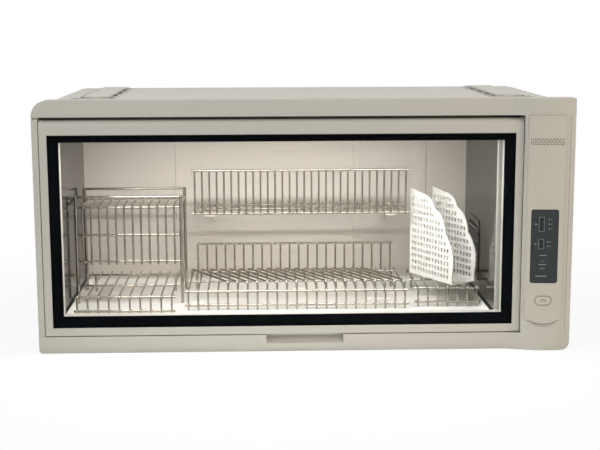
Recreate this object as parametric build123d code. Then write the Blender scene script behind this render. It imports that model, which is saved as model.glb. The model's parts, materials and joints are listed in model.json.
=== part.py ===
from build123d import *
import os
from math import atan, cos, hypot, pi, radians, sin

# Dish sterilizer cabinet. Millimetres, +Z up, front towards -Y.
# Origin: bottom centre of the whole cabinet's box.

# ---- driving sizes: outside -------------------------------------------------
cabinet_width = 790.0
cabinet_height = 375.0          # to the flat top, without the vent caps
body_depth = 320.0              # door face to back panel
column_bulge = 13.5             # how far the control column swells forward
fascia_proud = 2.2              # control fascia stands off the column
rail_height = 25.0              # fixed rail under the door
bezel_height = 24.5             # fixed bar over the door
left_trim_width = 9.5
seam_depth = 4.0                # dark seam under the bezel, across the left trim
column_width = 73.0
shoulder_radius = 38.0          # rounded long edges of the casing
casing_inset = 3.0              # casing side behind the frame's side
casing_sheet = 1.0
moulding_wall = 2.5
left_corner_radius = 6.0        # lower outer corners of the front frame
right_corner_radius = 12.0
edge_round = 1.8                # small rounding of visible plastic edges

# ---- driving sizes: bulge in plan -------------------------------------------
bulge_start_in = 103.0          # flat front ends here, from the right side
bulge_peak_in = 32.0
bulge_hollow_radius = 70.0      # hollow arc where the swelling starts

# ---- driving sizes: door ----------------------------------------------------
door_thickness = 22.0
door_gap = 1.0                  # to rail, trim and column
door_top_gap = 3.0              # to the bezel
door_side_strip = 11.0
door_top_strip = 23.0
door_bottom_strip = 12.0
mask_side = 16.0
mask_top = 11.0
mask_bottom = 17.0
mask_thickness = 0.3
glass_thickness = 4.0
glass_inset = 2.0               # frame lip in front of the glass
glass_overlap = 5.0             # glass behind the lip
fit_clearance = 0.2
seal_thickness = 3.7
seal_width = 9.0
seal_gap = 0.3
seal_setback = 1.0              # seal's inner edge to the mouth
pin_radius = 3.0
pin_running = 0.05              # radial clearance of running pins
pin_in_door = 20.0
pin_in_frame = 9.0
cartridge_radius = 6.0
magnet_width = 30.0
magnet_height = 4.5
magnet_depth = 5.0
magnet_inset = 75.0             # from the door's side to the magnet's middle
magnet_clearance = 0.1

# ---- driving sizes: finger recess in the rail ---------------------------------
recess_width = 115.0
recess_height = 13.0
recess_depth = 12.0

# ---- driving sizes: cavity ----------------------------------------------------
cavity_left_space = 31.0        # cabinet side to cavity side
compartment_width = 107.4       # machine space behind the column
cavity_floor = 39.8
ceiling_space = 41.0            # cabinet top to the cavity's ceiling
sill_height = 42.0              # lower edge of the cavity's mouth
rear_space = 13.5               # liner to the back panel's outside
liner_sheet = 0.8

# ---- driving sizes: controls --------------------------------------------------
fascia_left_in = 68.0           # from the cabinet's right side
fascia_right_in = 15.0
fascia_lip_sag = 7.5            # bow of the fascia's lower edge
fascia_bottom = 49.0
groove_offset = 6.5             # fine groove outside the fascia
groove_width = 1.0
groove_depth = 0.6
display_width = 40.0
display_height = 110.0
display_top = 213.0
controls_in = 42.5              # middle of the controls, from the right side
display_corner = 3.6
window_thickness = 2.5
button_length = 22.6
button_height = 12.4
button_z = 76.5
button_travel = 1.2
button_clearance = 0.4
button_proud = 0.4
perforation_drop = 34.0         # below the bezel
perforation_pitch = 2.6
perforation_radius = 0.6
perforation_rows = 4
perforation_columns = 19
led_radius = 1.3
led_offset = 5.3                # left of the window's middle
led_upper_drop = 15.0           # first lamp of each group, below the window's top
led_lower_drop = 48.0
led_pitch = 6.7
board_width = 40.0
board_thickness = 1.6
board_setback = 10.0            # board face behind the column's peak surface

# ---- driving sizes: vents on top ----------------------------------------------
vent_centre_in = 90.0           # from the cabinet's sides
vent_width = 56.0
vent_length = 262.0
vent_setback = 32.0             # behind the door face
vent_slot = 6.5
vent_rim = 2.5
vent_rim_height = 1.2
vent_cap_height = 3.8
vent_bridges = 4

# ---- driving sizes: racks -----------------------------------------------------
wire_radius = 1.5
rail_radius = 2.1
wire_inset = 6.0                # end wires to the rail ends
rail_inset = 9.0                # cross rails to the deck's ends
fence_height = 43.0             # rear fence of the plate rack above the deck
deck_rise = 31.0                # tray floor to the centre of the deck wires
tray_height = 9.5
tray_sheet = 1.0
tray_front_setback = 34.0
tray_margin = 3.0
stand_gap = 0.3
cup_rack_setback = 60.0
cup_rack_clearance = 2.2        # to the tier's posts
cup_rack_depth = 190.0
cup_wire_count = 10
plate_rack_setback = 94.0
plate_rack_clearance = 4.0      # to the tier's posts
plate_rack_depth = 170.0
plate_wire_count = 23
loop_height = 13.0              # divider loops above the deck
loop_depth = 104.0              # front foot to rear foot
loop_wire_count = 4             # deck wires from one foot to the other
loop_front_gap = 6.0
loop_bend = 5.0
utensil_rack_setback = 106.0
utensil_rack_width = 105.6
utensil_rack_gap = 10.0         # to the plate rack
utensil_wall_gap = 5.6
utensil_rack_depth = 150.0
utensil_wire_count = 7
tier_width = 165.8              # between the posts' middles
tier_tray_gap = 0.6             # posts to the tray's wall
tier_depth = 130.0
tier_setback = 136.0
tier_post_inset = 14.0
tier_rail = 214.5
tier_deck = 199.5
tier_tie = 151.8
tier_skirt = 105.0
tier_wire_count = 12
post_radius = 2.6
upper_left_in = 7.4             # plate rack's end to the upper rack's
upper_right_out = 11.0
upper_depth = 110.0
upper_deck = 181.0
upper_rail = 246.0
upper_tine_count = 30
upper_rear_gap = 6.0            # rack to the liner's back wall
bracket_reach = 60.0            # gusset along the bracket's arm

# ---- driving sizes: utensil caddy -----------------------------------------------
caddy_width = 46.0
caddy_wall = 2.0
caddy_length = 116.0
caddy_height = 142.0
caddy_setback = 116.0           # before it is turned
caddy_turn = 28.0               # degrees, as the divider loops
caddy_hole_width = 4.2
caddy_hole_height = 6.2
caddy_hole_pitch = 8.0
caddy_row_pitch = 10.4
caddy_hole_margin = 4.5         # holes to the panel's outline
caddy_bump_count = 3
caddy_front_height = 18.0

# ---- driving sizes: air, heat and lamp ------------------------------------------
fan_y = 62.0
fan_z = 118.0
fan_size = 92.0
fan_bore = 88.0
fan_thickness = 25.0
blade_tip_gap = 1.2
hub_radius = 17.0
blade_count = 7
blade_pitch = 35.0
shaft_radius = 2.0
motor_length = 20.0
duct_length = 26.0
duct_wall = 1.5
heater_thickness = 14.0
heater_slots = 9
grille_slots = 9
lamp_radius = 8.0
lamp_length = 300.0
lamp_y = 120.0
lamp_drop = 14.0

# ---- driving sizes: fastening ---------------------------------------------------
hanging_spacing = 500.0
hanging_radius = 4.25
hanging_drop = 57.0             # below the cabinet's top
hanger_width = 60.0
hanger_height = 36.0
hanger_thickness = 2.0
screw_head_radius = 4.0
screw_head_height = 2.2
screw_radius = 1.7
screw_length = 8.0

# ---- planes worked out from the sizes -------------------------------------------
half_width = cabinet_width / 2
bulge_start_x = half_width - bulge_start_in
bulge_peak_x = half_width - bulge_peak_in
fascia_left = half_width - fascia_left_in
fascia_right = half_width - fascia_right_in
display_x = button_x = half_width - controls_in
vent_centre_x = half_width - vent_centre_in
cavity_ceiling = cabinet_height - ceiling_space
hanging_height = cabinet_height - hanging_drop
back_y = (body_depth + column_bulge + fascia_proud + button_proud) / 2
face_y = back_y - body_depth
frame_depth = door_thickness + seal_gap + seal_thickness
body_y = face_y + frame_depth
door_left = -half_width + left_trim_width + door_gap
column_left = half_width - column_width
door_right = column_left - door_gap
door_bottom = rail_height + door_gap
bezel_bottom = cabinet_height - bezel_height
door_top = bezel_bottom - door_top_gap
hinge_y = face_y + door_thickness / 2
hinge_z = door_top - door_thickness / 2
door_back = face_y + door_thickness
cavity_left = -half_width + cavity_left_space
cavity_right = half_width - compartment_width
cavity_back = back_y - rear_space
casing_side = half_width - casing_inset
tray_floor_top = cavity_floor + tray_sheet
stand_z = tray_floor_top + stand_gap
tray_lip = cavity_floor + tray_height
deck_height = stand_z + deck_rise
tier_left = cavity_left + tray_margin + tray_sheet + tier_tray_gap + post_radius
tier_right = tier_left + tier_width
cup_rack_left = tier_left + post_radius + cup_rack_clearance
cup_rack_right = tier_right - post_radius - cup_rack_clearance
plate_rack_left = tier_right + post_radius + plate_rack_clearance
utensil_rack_right = cavity_right - utensil_wall_gap
utensil_rack_left = utensil_rack_right - utensil_rack_width
plate_rack_right = utensil_rack_left - utensil_rack_gap
upper_left = plate_rack_left + upper_left_in
upper_right = plate_rack_right + upper_right_out
perforation_top = bezel_bottom - perforation_drop
parts = {}


# ---- small helpers -----------------------------------------------------------
def block(x0, x1, y0, y1, z0, z1):
    """Box between two corners."""
    centre = Pos((x0 + x1) / 2, (y0 + y1) / 2, (z0 + z1) / 2)
    return centre * Box(x1 - x0, y1 - y0, z1 - z0)


def rod(start, end, radius):
    """Straight round rod between two points."""
    axis = Vector(*end) - Vector(*start)
    return Plane(origin=start, z_dir=axis) * extrude(Circle(radius), axis.length)


def bent_rod(points, radius, bend):
    """Round rod along straight runs joined by bends."""
    path = FilletPolyline(*points, radius=bend)
    return sweep(Plane(origin=path @ 0, z_dir=path % 0) * Circle(radius), path)


def along_y(outline, y0, y1):
    """Extrude an outline drawn in X and Z from y0 back to y1."""
    solid = extrude(outline, y0 - y1, dir=(0, 0, 1))
    return Plane(origin=(0, y0, 0), x_dir=(1, 0, 0), z_dir=(0, -1, 0)) * solid


def along_x(outline, x0, x1):
    """Extrude an outline drawn in Y and Z from x0 to x1."""
    solid = extrude(outline, x1 - x0, dir=(0, 0, 1))
    return Plane(origin=(x0, 0, 0), x_dir=(0, 1, 0), z_dir=(1, 0, 0)) * solid


def ring(x0, x1, z0, z1, left, right, bottom, top, y0, y1):
    """Rectangular frame in the X-Z plane with its own strip widths."""
    inside = block(x0 + left, x1 - right, y0 - 1, y1 + 1, z0 + bottom, z1 - top)
    return block(x0, x1, y0, y1, z0, z1) - inside


def edges_at(shape, direction, x=None, y=None, z=None, tolerance=0.01):
    """Straight edges along one direction at the given coordinates."""
    found = shape.edges().filter_by(direction)
    for axis, value in ((Axis.X, x), (Axis.Y, y), (Axis.Z, z)):
        if value is not None:
            found = found.filter_by_position(axis, value - tolerance, value + tolerance)
    return found


def spread(first, last, count):
    """Evenly spaced values from first to last."""
    return [first + (last - first) * i / (count - 1) for i in range(count)]


# ---- the bulged front ----------------------------------------------------------
bulge_run = bulge_peak_x - bulge_start_x
bulge_turn = 2 * atan(column_bulge / bulge_run)
bulge_crown_radius = bulge_run / sin(bulge_turn) - bulge_hollow_radius


def front_bulge(x):
    """How far the front surface swells forward at x."""
    hollow_end = bulge_start_x + bulge_hollow_radius * sin(bulge_turn)
    if x <= bulge_start_x:
        return 0.0
    if x <= hollow_end:
        return bulge_hollow_radius - (bulge_hollow_radius ** 2 - (x - bulge_start_x) ** 2) ** 0.5
    drop = bulge_crown_radius - (bulge_crown_radius ** 2 - (x - bulge_peak_x) ** 2) ** 0.5
    return column_bulge - drop


def front_mass(forward, z0, z1):
    """Everything behind the front surface moved forward by a distance, to the frame's back."""
    front = face_y - forward

    def at(x):
        return (x, front - front_bulge(x))

    hollow_end = bulge_start_x + bulge_hollow_radius * sin(bulge_turn)
    outline = Polyline(at(half_width), (half_width, body_y), (-half_width, body_y), at(-half_width),
                       at(bulge_start_x))
    hollow = ThreePointArc(at(bulge_start_x), at((bulge_start_x + hollow_end) / 2), at(hollow_end))
    crown = ThreePointArc(at(hollow_end), at(bulge_peak_x), at(half_width))
    face = make_face(outline + hollow + crown)
    return Pos(0, 0, z0) * extrude(face, z1 - z0)


def front_slab(x0, x1, z0, z1):
    """Piece of the front frame between two sides and two heights."""
    room = block(x0, x1, face_y - column_bulge - 1, body_y, z0, z1)
    return front_mass(0, z0, z1) & room


def front_skin(outline, outer, inner):
    """Curved plate of an X-Z outline between two offsets of the front surface."""
    plate = front_mass(outer, 0, cabinet_height) - front_mass(inner, -1, cabinet_height + 1)
    return plate & along_y(outline, face_y - column_bulge - outer - 1, body_y)


# ---- front frame ---------------------------------------------------------------
def front_bezel():
    bar = front_slab(-half_width, half_width, bezel_bottom, cabinet_height)
    inside = front_mass(-moulding_wall, bezel_bottom + moulding_wall, cabinet_height - moulding_wall)
    inside &= block(-half_width + bezel_height, half_width - moulding_wall,
                    face_y - column_bulge, body_y, bezel_bottom, cabinet_height)
    bar -= inside
    bar = fillet(edges_at(bar, Axis.Y, x=-half_width, z=cabinet_height), bezel_height - 0.5)
    return bar


def left_trim():
    bar = block(-half_width, -half_width + left_trim_width, face_y, body_y, rail_height, bezel_bottom)
    bar = fillet(edges_at(bar, Axis.Z, y=face_y), edge_round)
    bore = rod((-half_width + left_trim_width - pin_in_frame - fit_clearance, hinge_y, hinge_z),
               (-half_width + left_trim_width + 1, hinge_y, hinge_z), cartridge_radius)
    seam = block(-half_width - 1, -half_width + left_trim_width + 1, face_y - 1, face_y + seam_depth,
                 door_top, bezel_bottom + 1)
    return bar - bore - seam


def recess_cut():
    """Wedge under the door edge: deep at the top, running out to the front below."""
    wedge = Polygon((face_y - 1, rail_height + 1), (face_y + recess_depth, rail_height + 1),
                    (face_y + recess_depth, rail_height - recess_height / 3),
                    (face_y, rail_height - recess_height),
                    (face_y - 1, rail_height - recess_height), align=None)
    return along_x(wedge, -recess_width / 2, recess_width / 2)


def bottom_rail():
    rail = front_slab(-half_width, half_width, 0, rail_height)
    rail = fillet(edges_at(rail, Axis.Y, x=-half_width, z=0), left_corner_radius)
    rail = fillet(edges_at(rail, Axis.Y, x=half_width, z=0), right_corner_radius)
    inside = front_mass(-moulding_wall, moulding_wall, rail_height - moulding_wall)
    clear_of_recess = recess_width / 2 + moulding_wall
    for x0, x1 in ((-half_width + left_corner_radius, -clear_of_recess),
                   (clear_of_recess, half_width - right_corner_radius)):
        rail -= inside & block(x0, x1, face_y - column_bulge, body_y, 0, rail_height)
    return rail - recess_cut()


# ---- casing --------------------------------------------------------------------
def casing_profile(inset):
    """Closed outline of the casing's flat top and its two round shoulders."""
    side = casing_side - inset
    top = cabinet_height - inset
    radius = shoulder_radius - inset
    low = cabinet_height - shoulder_radius
    shape = Polyline((-side, low), (side, low))
    shape += RadiusArc((side, low), (side - radius, top), -radius)
    shape += Line((side - radius, top), (-side + radius, top))
    shape += RadiusArc((-side + radius, top), (-side, low), -radius)
    return make_face(shape)


def casing_face(y0, y1):
    """Flat sheet that closes the casing's whole section, inside its skin."""
    side = casing_side - casing_sheet
    lower = block(-side, side, y0, y1, casing_sheet, cabinet_height - shoulder_radius)
    return lower + along_y(casing_profile(casing_sheet), y0, y1)


def screw_places():
    rear = (vent_centre_x - vent_width / 2 + 10.0, back_y - 14.0)
    front = (vent_centre_x + vent_width / 2 + screw_head_radius + 1.0, body_y + 12.0)
    return [(side * x, y) for side in (-1, 1) for x, y in (rear, front)]


def vent_opening(side, z0, z1, margin):
    x0 = side * vent_centre_x - vent_width / 2 + margin
    x1 = side * vent_centre_x + vent_width / 2 - margin
    y0 = face_y + vent_setback + margin
    return block(x0, x1, y0, y0 + vent_length - 2 * margin, z0, z1)


def top_cover():
    outer = along_y(casing_profile(0), body_y, back_y)
    inner = along_y(casing_profile(casing_sheet), body_y - 1, back_y + 1)
    inner += block(-casing_side + casing_sheet, casing_side - casing_sheet, body_y - 1, back_y + 1,
                   cabinet_height - shoulder_radius - 1, cabinet_height - shoulder_radius)
    cover = outer - inner
    for side in (-1, 1):
        cover -= vent_opening(side, cabinet_height - 3, cabinet_height + 1, vent_rim)
    for x, y in screw_places():
        cover -= rod((x, y, cabinet_height - 3), (x, y, cabinet_height + 1), screw_radius + fit_clearance)
    return cover


def vent_grille(side):
    """Raised cap in a rim, with an open slot round it and bridges across."""
    base = cabinet_height
    rim = vent_opening(side, base, base + vent_rim_height, 0)
    rim -= vent_opening(side, base - 1, base + 9, vent_rim)
    cap_margin = vent_rim + vent_slot
    cap = vent_opening(side, base, base + vent_cap_height, cap_margin)
    cap = chamfer(cap.faces().sort_by(Axis.Z)[-1].edges(), 1.2)
    cap -= vent_opening(side, base - 1, base + vent_cap_height - 1.5, cap_margin + 1.5)
    grille = rim + cap
    y0 = face_y + vent_setback
    for y in spread(y0 + vent_length / 8, y0 + vent_length * 7 / 8, vent_bridges):
        bridge = block(side * vent_centre_x - vent_width / 2 + 1, side * vent_centre_x + vent_width / 2 - 1,
                       y - 4, y + 4, base, base + vent_rim_height)
        grille += bridge
    long_bridge = block(side * vent_centre_x - 6, side * vent_centre_x + 6, y0 + 1, y0 + vent_length - 1,
                        base, base + vent_rim_height)
    return grille + long_bridge


def side_panel(side):
    x0, x1 = sorted((side * casing_side, side * (casing_side - casing_sheet)))
    panel = block(x0, x1, body_y, back_y, casing_sheet, cabinet_height - shoulder_radius)
    if side > 0:
        gland = gland_place()
        panel -= rod((x0 - 1, *gland), (x1 + 1, *gland), gland_radius)
    return panel


def base_pan():
    pan = block(-casing_side, casing_side, body_y, back_y, 0, casing_sheet)
    lip = ring_plan(casing_side - casing_sheet, body_y + casing_sheet, back_y - casing_sheet,
                    casing_sheet, 10.0)
    return pan + lip


def ring_plan(half, y0, y1, z0, height):
    """Upturned lip round a rectangle."""
    outside = block(-half, half, y0, y1, z0, z0 + height)
    inside = block(-half + casing_sheet, half - casing_sheet, y0 + casing_sheet, y1 - casing_sheet,
                   z0 - 1, z0 + height + 1)
    return outside - inside


def hanging_places():
    return [-hanging_spacing / 2, hanging_spacing / 2]


def back_panel():
    panel = casing_face(back_y - casing_sheet, back_y)
    for x in hanging_places():
        panel -= rod((x, back_y - 3, hanging_height), (x, back_y + 1, hanging_height), hanging_radius)
    return panel


def hanger_plate(x):
    inner = back_y - casing_sheet
    plate = block(x - hanger_width / 2, x + hanger_width / 2, inner - hanger_thickness, inner,
                  hanging_height - hanger_height / 2, hanging_height + hanger_height / 2)
    plate = fillet(plate.edges().filter_by(Axis.Y), 4.0)
    return plate - rod((x, inner - 5, hanging_height), (x, inner + 1, hanging_height), hanging_radius)


def casing_screws():
    screws = []
    for x, y in screw_places():
        head = rod((x, y, cabinet_height), (x, y, cabinet_height + screw_head_height), screw_head_radius)
        head = fillet(head.edges().sort_by(Axis.Z)[-1], 1.2)
        slot = block(x - 2.4, x + 2.4, y - 0.5, y + 0.5, cabinet_height + 1.2, cabinet_height + 3)
        cross = block(x - 0.5, x + 0.5, y - 2.4, y + 2.4, cabinet_height + 1.2, cabinet_height + 3)
        shank = rod((x, y, cabinet_height - screw_length), (x, y, cabinet_height), screw_radius)
        screws.append(head + shank - slot - cross)
    return Compound(children=screws)


# ---- liner -----------------------------------------------------------------------
def front_flange():
    """Sheet round the mouth of the cavity; also closes the machine space."""
    plate = casing_face(body_y, body_y + casing_sheet)
    plate -= block(cavity_left, cavity_right, body_y - 1, body_y + 3, sill_height, cavity_ceiling)
    plate -= rod((switch_x, body_y - 1, switch_z), (switch_x, body_y + 3, switch_z), plunger_radius + 0.5)
    return plate


def liner_wall(x0, x1, z0, z1):
    return block(x0, x1, body_y + casing_sheet, cavity_back, z0, z1)


def liner_right():
    wall = liner_wall(cavity_right, cavity_right + liner_sheet, cavity_floor, cavity_ceiling)
    hole = fan_size / 2 - duct_wall - 1
    return wall - block(cavity_right - 1, cavity_right + 3, fan_y - hole, fan_y + hole,
                        fan_z - hole, fan_z + hole)


def air_grille():
    half = fan_size / 2 + 3
    plate = block(cavity_right - 1.2, cavity_right, fan_y - half, fan_y + half, fan_z - half, fan_z + half)
    plate = fillet(plate.edges().filter_by(Axis.X), 4.0)
    for z in spread(fan_z - half + 12, fan_z + half - 12, grille_slots):
        plate -= block(cavity_right - 3, cavity_right + 1, fan_y - half + 9, fan_y + half - 9, z - 2, z + 2)
    return plate


def drip_tray():
    x0 = cavity_left + tray_margin
    x1 = cavity_right - tray_margin
    y0 = face_y + tray_front_setback
    y1 = cavity_back - tray_margin
    tray = block(x0, x1, y0, y1, cavity_floor, tray_lip)
    tray = fillet(tray.edges().filter_by(Axis.Z), 8.0)
    well = block(x0 + tray_sheet, x1 - tray_sheet, y0 + tray_sheet, y1 - tray_sheet,
                 cavity_floor + tray_sheet, tray_lip + 1)
    return tray - fillet(well.edges().filter_by(Axis.Z), 8.0 - tray_sheet)


# ---- door --------------------------------------------------------------------------
def door_frame():
    slab = block(door_left, door_right, face_y, door_back, door_bottom, door_top)
    slab = fillet(edges_at(slab, Axis.X, z=door_top), door_thickness / 2 - 0.05)
    slab = fillet(edges_at(slab, Axis.X, y=face_y, z=door_bottom), edge_round)
    slab -= block(door_left + door_side_strip, door_right - door_side_strip, face_y - 1, door_back + 1,
                  door_bottom + door_bottom_strip, door_top - door_top_strip)
    lap = glass_overlap + fit_clearance
    slab -= block(door_left + door_side_strip - lap, door_right - door_side_strip + lap,
                  face_y + glass_inset, door_back + 1, door_bottom + door_bottom_strip - lap,
                  door_top - door_top_strip + lap)
    for x0, x1 in ((door_left - 1, door_left + pin_in_door), (door_right - pin_in_door, door_right + 1)):
        slab -= rod((x0, hinge_y, hinge_z), (x1, hinge_y, hinge_z), pin_radius)
    for x in magnet_places():
        slab -= magnet_block(x, magnet_clearance)
    return slab


def glass_box(margin, y0, y1):
    """Box over the glass area, grown by a margin past the frame's visible opening."""
    return block(door_left + door_side_strip - margin, door_right - door_side_strip + margin, y0, y1,
                 door_bottom + door_bottom_strip - margin, door_top - door_top_strip + margin)


def door_glass():
    return glass_box(glass_overlap, face_y + glass_inset, face_y + glass_inset + glass_thickness)


def clear_area(y0, y1):
    return block(door_left + door_side_strip + mask_side, door_right - door_side_strip - mask_side, y0, y1,
                 door_bottom + door_bottom_strip + mask_bottom, door_top - door_top_strip - mask_top)


def glass_mask():
    back = face_y + glass_inset + glass_thickness
    return glass_box(glass_overlap, back, back + mask_thickness) - clear_area(back - 1, back + 2)


def glass_retainer():
    front = face_y + glass_inset + glass_thickness + mask_thickness
    outside = glass_box(glass_overlap, front, door_back)
    retainer = outside - clear_area(front - 1, door_back + 1)
    hollow = moulding_wall
    channel = glass_box(glass_overlap - hollow, front + hollow, door_back + 1)
    inner_side = block(door_left + door_side_strip + mask_side - hollow,
                       door_right - door_side_strip - mask_side + hollow, front, door_back + 2,
                       door_bottom + door_bottom_strip + mask_bottom - hollow,
                       door_top - door_top_strip - mask_top + hollow)
    return retainer - (channel - inner_side)


def hinge_pin(side):
    x0 = door_left - door_gap - pin_in_frame if side < 0 else door_right - pin_in_door
    x1 = door_left + pin_in_door if side < 0 else door_right + door_gap + pin_in_frame
    return rod((x0, hinge_y, hinge_z), (x1, hinge_y, hinge_z), pin_radius)


def hinge_cartridge(side):
    """Friction bush that carries the pin and holds the door where it is left."""
    if side < 0:
        x0, x1 = -half_width + left_trim_width - pin_in_frame - fit_clearance, -half_width + left_trim_width
    else:
        x0, x1 = column_left, column_left + pin_in_frame + fit_clearance
    sleeve = rod((x0, hinge_y, hinge_z), (x1, hinge_y, hinge_z), cartridge_radius)
    return sleeve - rod((x0 - 1, hinge_y, hinge_z), (x1 + 1, hinge_y, hinge_z), pin_radius + pin_running)


def hinge_block():
    """Carrier of the right cartridge inside the column."""
    x0 = column_left + moulding_wall
    x1 = column_left + pin_in_frame + fit_clearance
    half = cartridge_radius + 3.0
    body = block(x0, x1 + 8.0, hinge_y - half + 1, body_y, hinge_z - half, hinge_z + half)
    return body - rod((x0 - 1, hinge_y, hinge_z), (x1, hinge_y, hinge_z), cartridge_radius)


def magnet_block(x, grow):
    """Magnet, or its pocket, in the door's lower back edge."""
    half = magnet_width / 2 + grow
    low = door_bottom + 1.0
    return block(x - half, x + half, door_back - magnet_depth - grow, door_back + 5 * grow,
                 low - grow, low + magnet_height + grow)


def magnet_places():
    return spread(door_left + magnet_inset, door_right - magnet_inset, 2)


def door_magnets():
    return Compound(children=[magnet_block(x, 0) for x in magnet_places()])


def catch_plates():
    """Steel angles on the flange, behind the magnets."""
    plates = [block(x - magnet_width / 2, x + magnet_width / 2, door_back + seal_gap, body_y,
                    door_bottom, door_bottom + 1.0 + magnet_height) for x in magnet_places()]
    return Compound(children=plates)


def door_seal():
    front = door_back + seal_gap
    strip = seal_width - seal_setback
    return ring(cavity_left - seal_width, cavity_right + seal_width, sill_height - seal_width,
                cavity_ceiling + seal_width, strip, strip, strip, strip, front, body_y)


# ---- control column ----------------------------------------------------------------
def display_outline(grow=0.0):
    shape = RectangleRounded(display_width + 2 * grow, display_height + 2 * grow, display_corner + grow)
    return Pos(display_x, display_top - display_height / 2) * shape


def button_outline(grow=0.0):
    return Pos(button_x, button_z) * SlotOverall(button_length + 2 * grow, button_height + 2 * grow)


def fascia_outline():
    top = bezel_bottom - 0.5
    middle = (fascia_left + fascia_right) / 2
    shape = Polyline((fascia_left, fascia_bottom), (fascia_left, top), (fascia_right, top),
                     (fascia_right, fascia_bottom))
    shape += ThreePointArc((fascia_right, fascia_bottom), (middle, fascia_bottom - fascia_lip_sag),
                           (fascia_left, fascia_bottom))
    return make_face(shape)


def control_housing():
    shell = front_slab(column_left, half_width, rail_height, bezel_bottom)
    inside = front_mass(-moulding_wall, rail_height + moulding_wall, bezel_bottom - moulding_wall)
    inside &= block(column_left + moulding_wall, half_width - moulding_wall, face_y - column_bulge, body_y,
                    rail_height, bezel_bottom)
    shell -= inside
    front = face_y - column_bulge - 2
    shell -= along_y(display_outline(fit_clearance), front, face_y)
    shell -= along_y(button_outline(button_clearance), front, face_y)
    shell -= rod((column_left - 1, hinge_y, hinge_z), (column_left + moulding_wall + 1, hinge_y, hinge_z),
                 cartridge_radius)
    groove_x = fascia_right + groove_offset
    groove = block(groove_x, groove_x + groove_width, front, body_y, rail_height - 1, bezel_bottom + 1)
    return shell - (groove - front_mass(-groove_depth, rail_height - 2, bezel_bottom + 2))


def control_fascia():
    plate = front_skin(fascia_outline(), fascia_proud, 0)
    front = face_y - column_bulge - 3
    plate -= along_y(display_outline(fit_clearance), front, face_y)
    plate -= along_y(button_outline(button_clearance), front, face_y)
    middle = (fascia_left + fascia_right) / 2
    half = perforation_pitch * (perforation_columns - 1) / 2
    holes = [Pos(x, perforation_top - row * perforation_pitch) * Circle(perforation_radius)
             for row in range(perforation_rows)
             for x in spread(middle - half, middle + half, perforation_columns)]
    return plate - along_y(Sketch() + holes, front, face_y - 1)


def display_window():
    return front_skin(display_outline(), fascia_proud - 0.1, fascia_proud - 0.1 - window_thickness)


def board_front():
    return face_y - column_bulge + board_setback


def control_board():
    y0 = board_front()
    return block(display_x - board_width / 2, display_x + board_width / 2, y0, y0 + board_thickness,
                 button_z - 22.0, display_top + 12.0)


def board_standoffs():
    y0 = board_front() + board_thickness
    posts = []
    for x in (display_x - board_width / 2 + 5, display_x + board_width / 2 - 5):
        for z in (button_z - 16.0, display_top + 6.0):
            posts.append(rod((x, y0, z), (x, body_y, z), 3.0))
    return Compound(children=posts)


def led_places():
    """Heights of the two groups of signal lamps behind the window."""
    upper = [display_top - led_upper_drop - led_pitch * i for i in range(3)]
    lower = [display_top - led_lower_drop - led_pitch * i for i in range(2)]
    return upper + lower


def indicator_leds():
    x = display_x - led_offset
    tip = face_y - front_bulge(x) - fascia_proud + 0.1 + window_thickness + 0.8
    leds = []
    for z in led_places():
        lamp = rod((x, board_front(), z), (x, tip, z), led_radius)
        leds.append(fillet(lamp.edges().sort_by(Axis.Y)[0], led_radius * 0.6))
    return Compound(children=leds)


def button_switch():
    y0 = board_front()
    body = block(button_x - 3, button_x + 3, y0 - 2.5, y0, button_z - 3, button_z + 3)
    return body + rod((button_x, y0 - 3.2, button_z), (button_x, y0 - 2.5, button_z), 1.5)


def power_button():
    cap_back = fascia_proud + button_proud - 6.0
    cap = front_skin(button_outline(), fascia_proud + button_proud, cap_back)
    stem_end = board_front() - 3.2 - button_travel - 0.2
    stem_start = face_y - front_bulge(button_x) - cap_back - 1.0
    if stem_end > stem_start:
        cap += rod((button_x, stem_start, button_z), (button_x, stem_end, button_z), 2.0)
    return cap


# ---- racks ---------------------------------------------------------------------------
def deck_rack(x0, x1, setback, depth, count):
    """Deck wires that bend down in front, on cross rails, standing in the tray."""
    y0 = face_y + setback
    y1 = y0 + depth
    below = deck_height - wire_radius - rail_radius
    rods = []
    for x in spread(x0 + wire_inset, x1 - wire_inset, count):
        rods.append(bent_rod([(x, y1, deck_height), (x, y0, deck_height), (x, y0, stand_z)],
                             wire_radius, 4.0))
    for y in spread(y0 + rail_inset, y1 - rail_inset, 3):
        rods.append(rod((x0, y, below), (x1, y, below), rail_radius))
    low = y0 + wire_radius + rail_radius
    rods.append(rod((x0, low, stand_z + 7.0), (x1, low, stand_z + 7.0), rail_radius))
    foot = below - rail_radius
    for x in (x0 + 12.0, x1 - 12.0):
        rods.append(rod((x, y1 - rail_inset, stand_z), (x, y1 - rail_inset, foot), rail_radius))
    return rods


def divider_loop(x_back, x_front, y0):
    """Hoop between two deck wires, turned out of the front-to-back line."""
    y1 = y0 + loop_depth
    base = deck_height + wire_radius
    top = deck_height + loop_height
    points = [(x_back, y1, base), (x_back, y1, top), (x_front, y0, top), (x_front, y0, base)]
    return bent_rod(points, wire_radius, loop_bend)


def cup_rack():
    rods = deck_rack(cup_rack_left, cup_rack_right, cup_rack_setback, cup_rack_depth, cup_wire_count)
    return Compound(children=rods)


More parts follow.
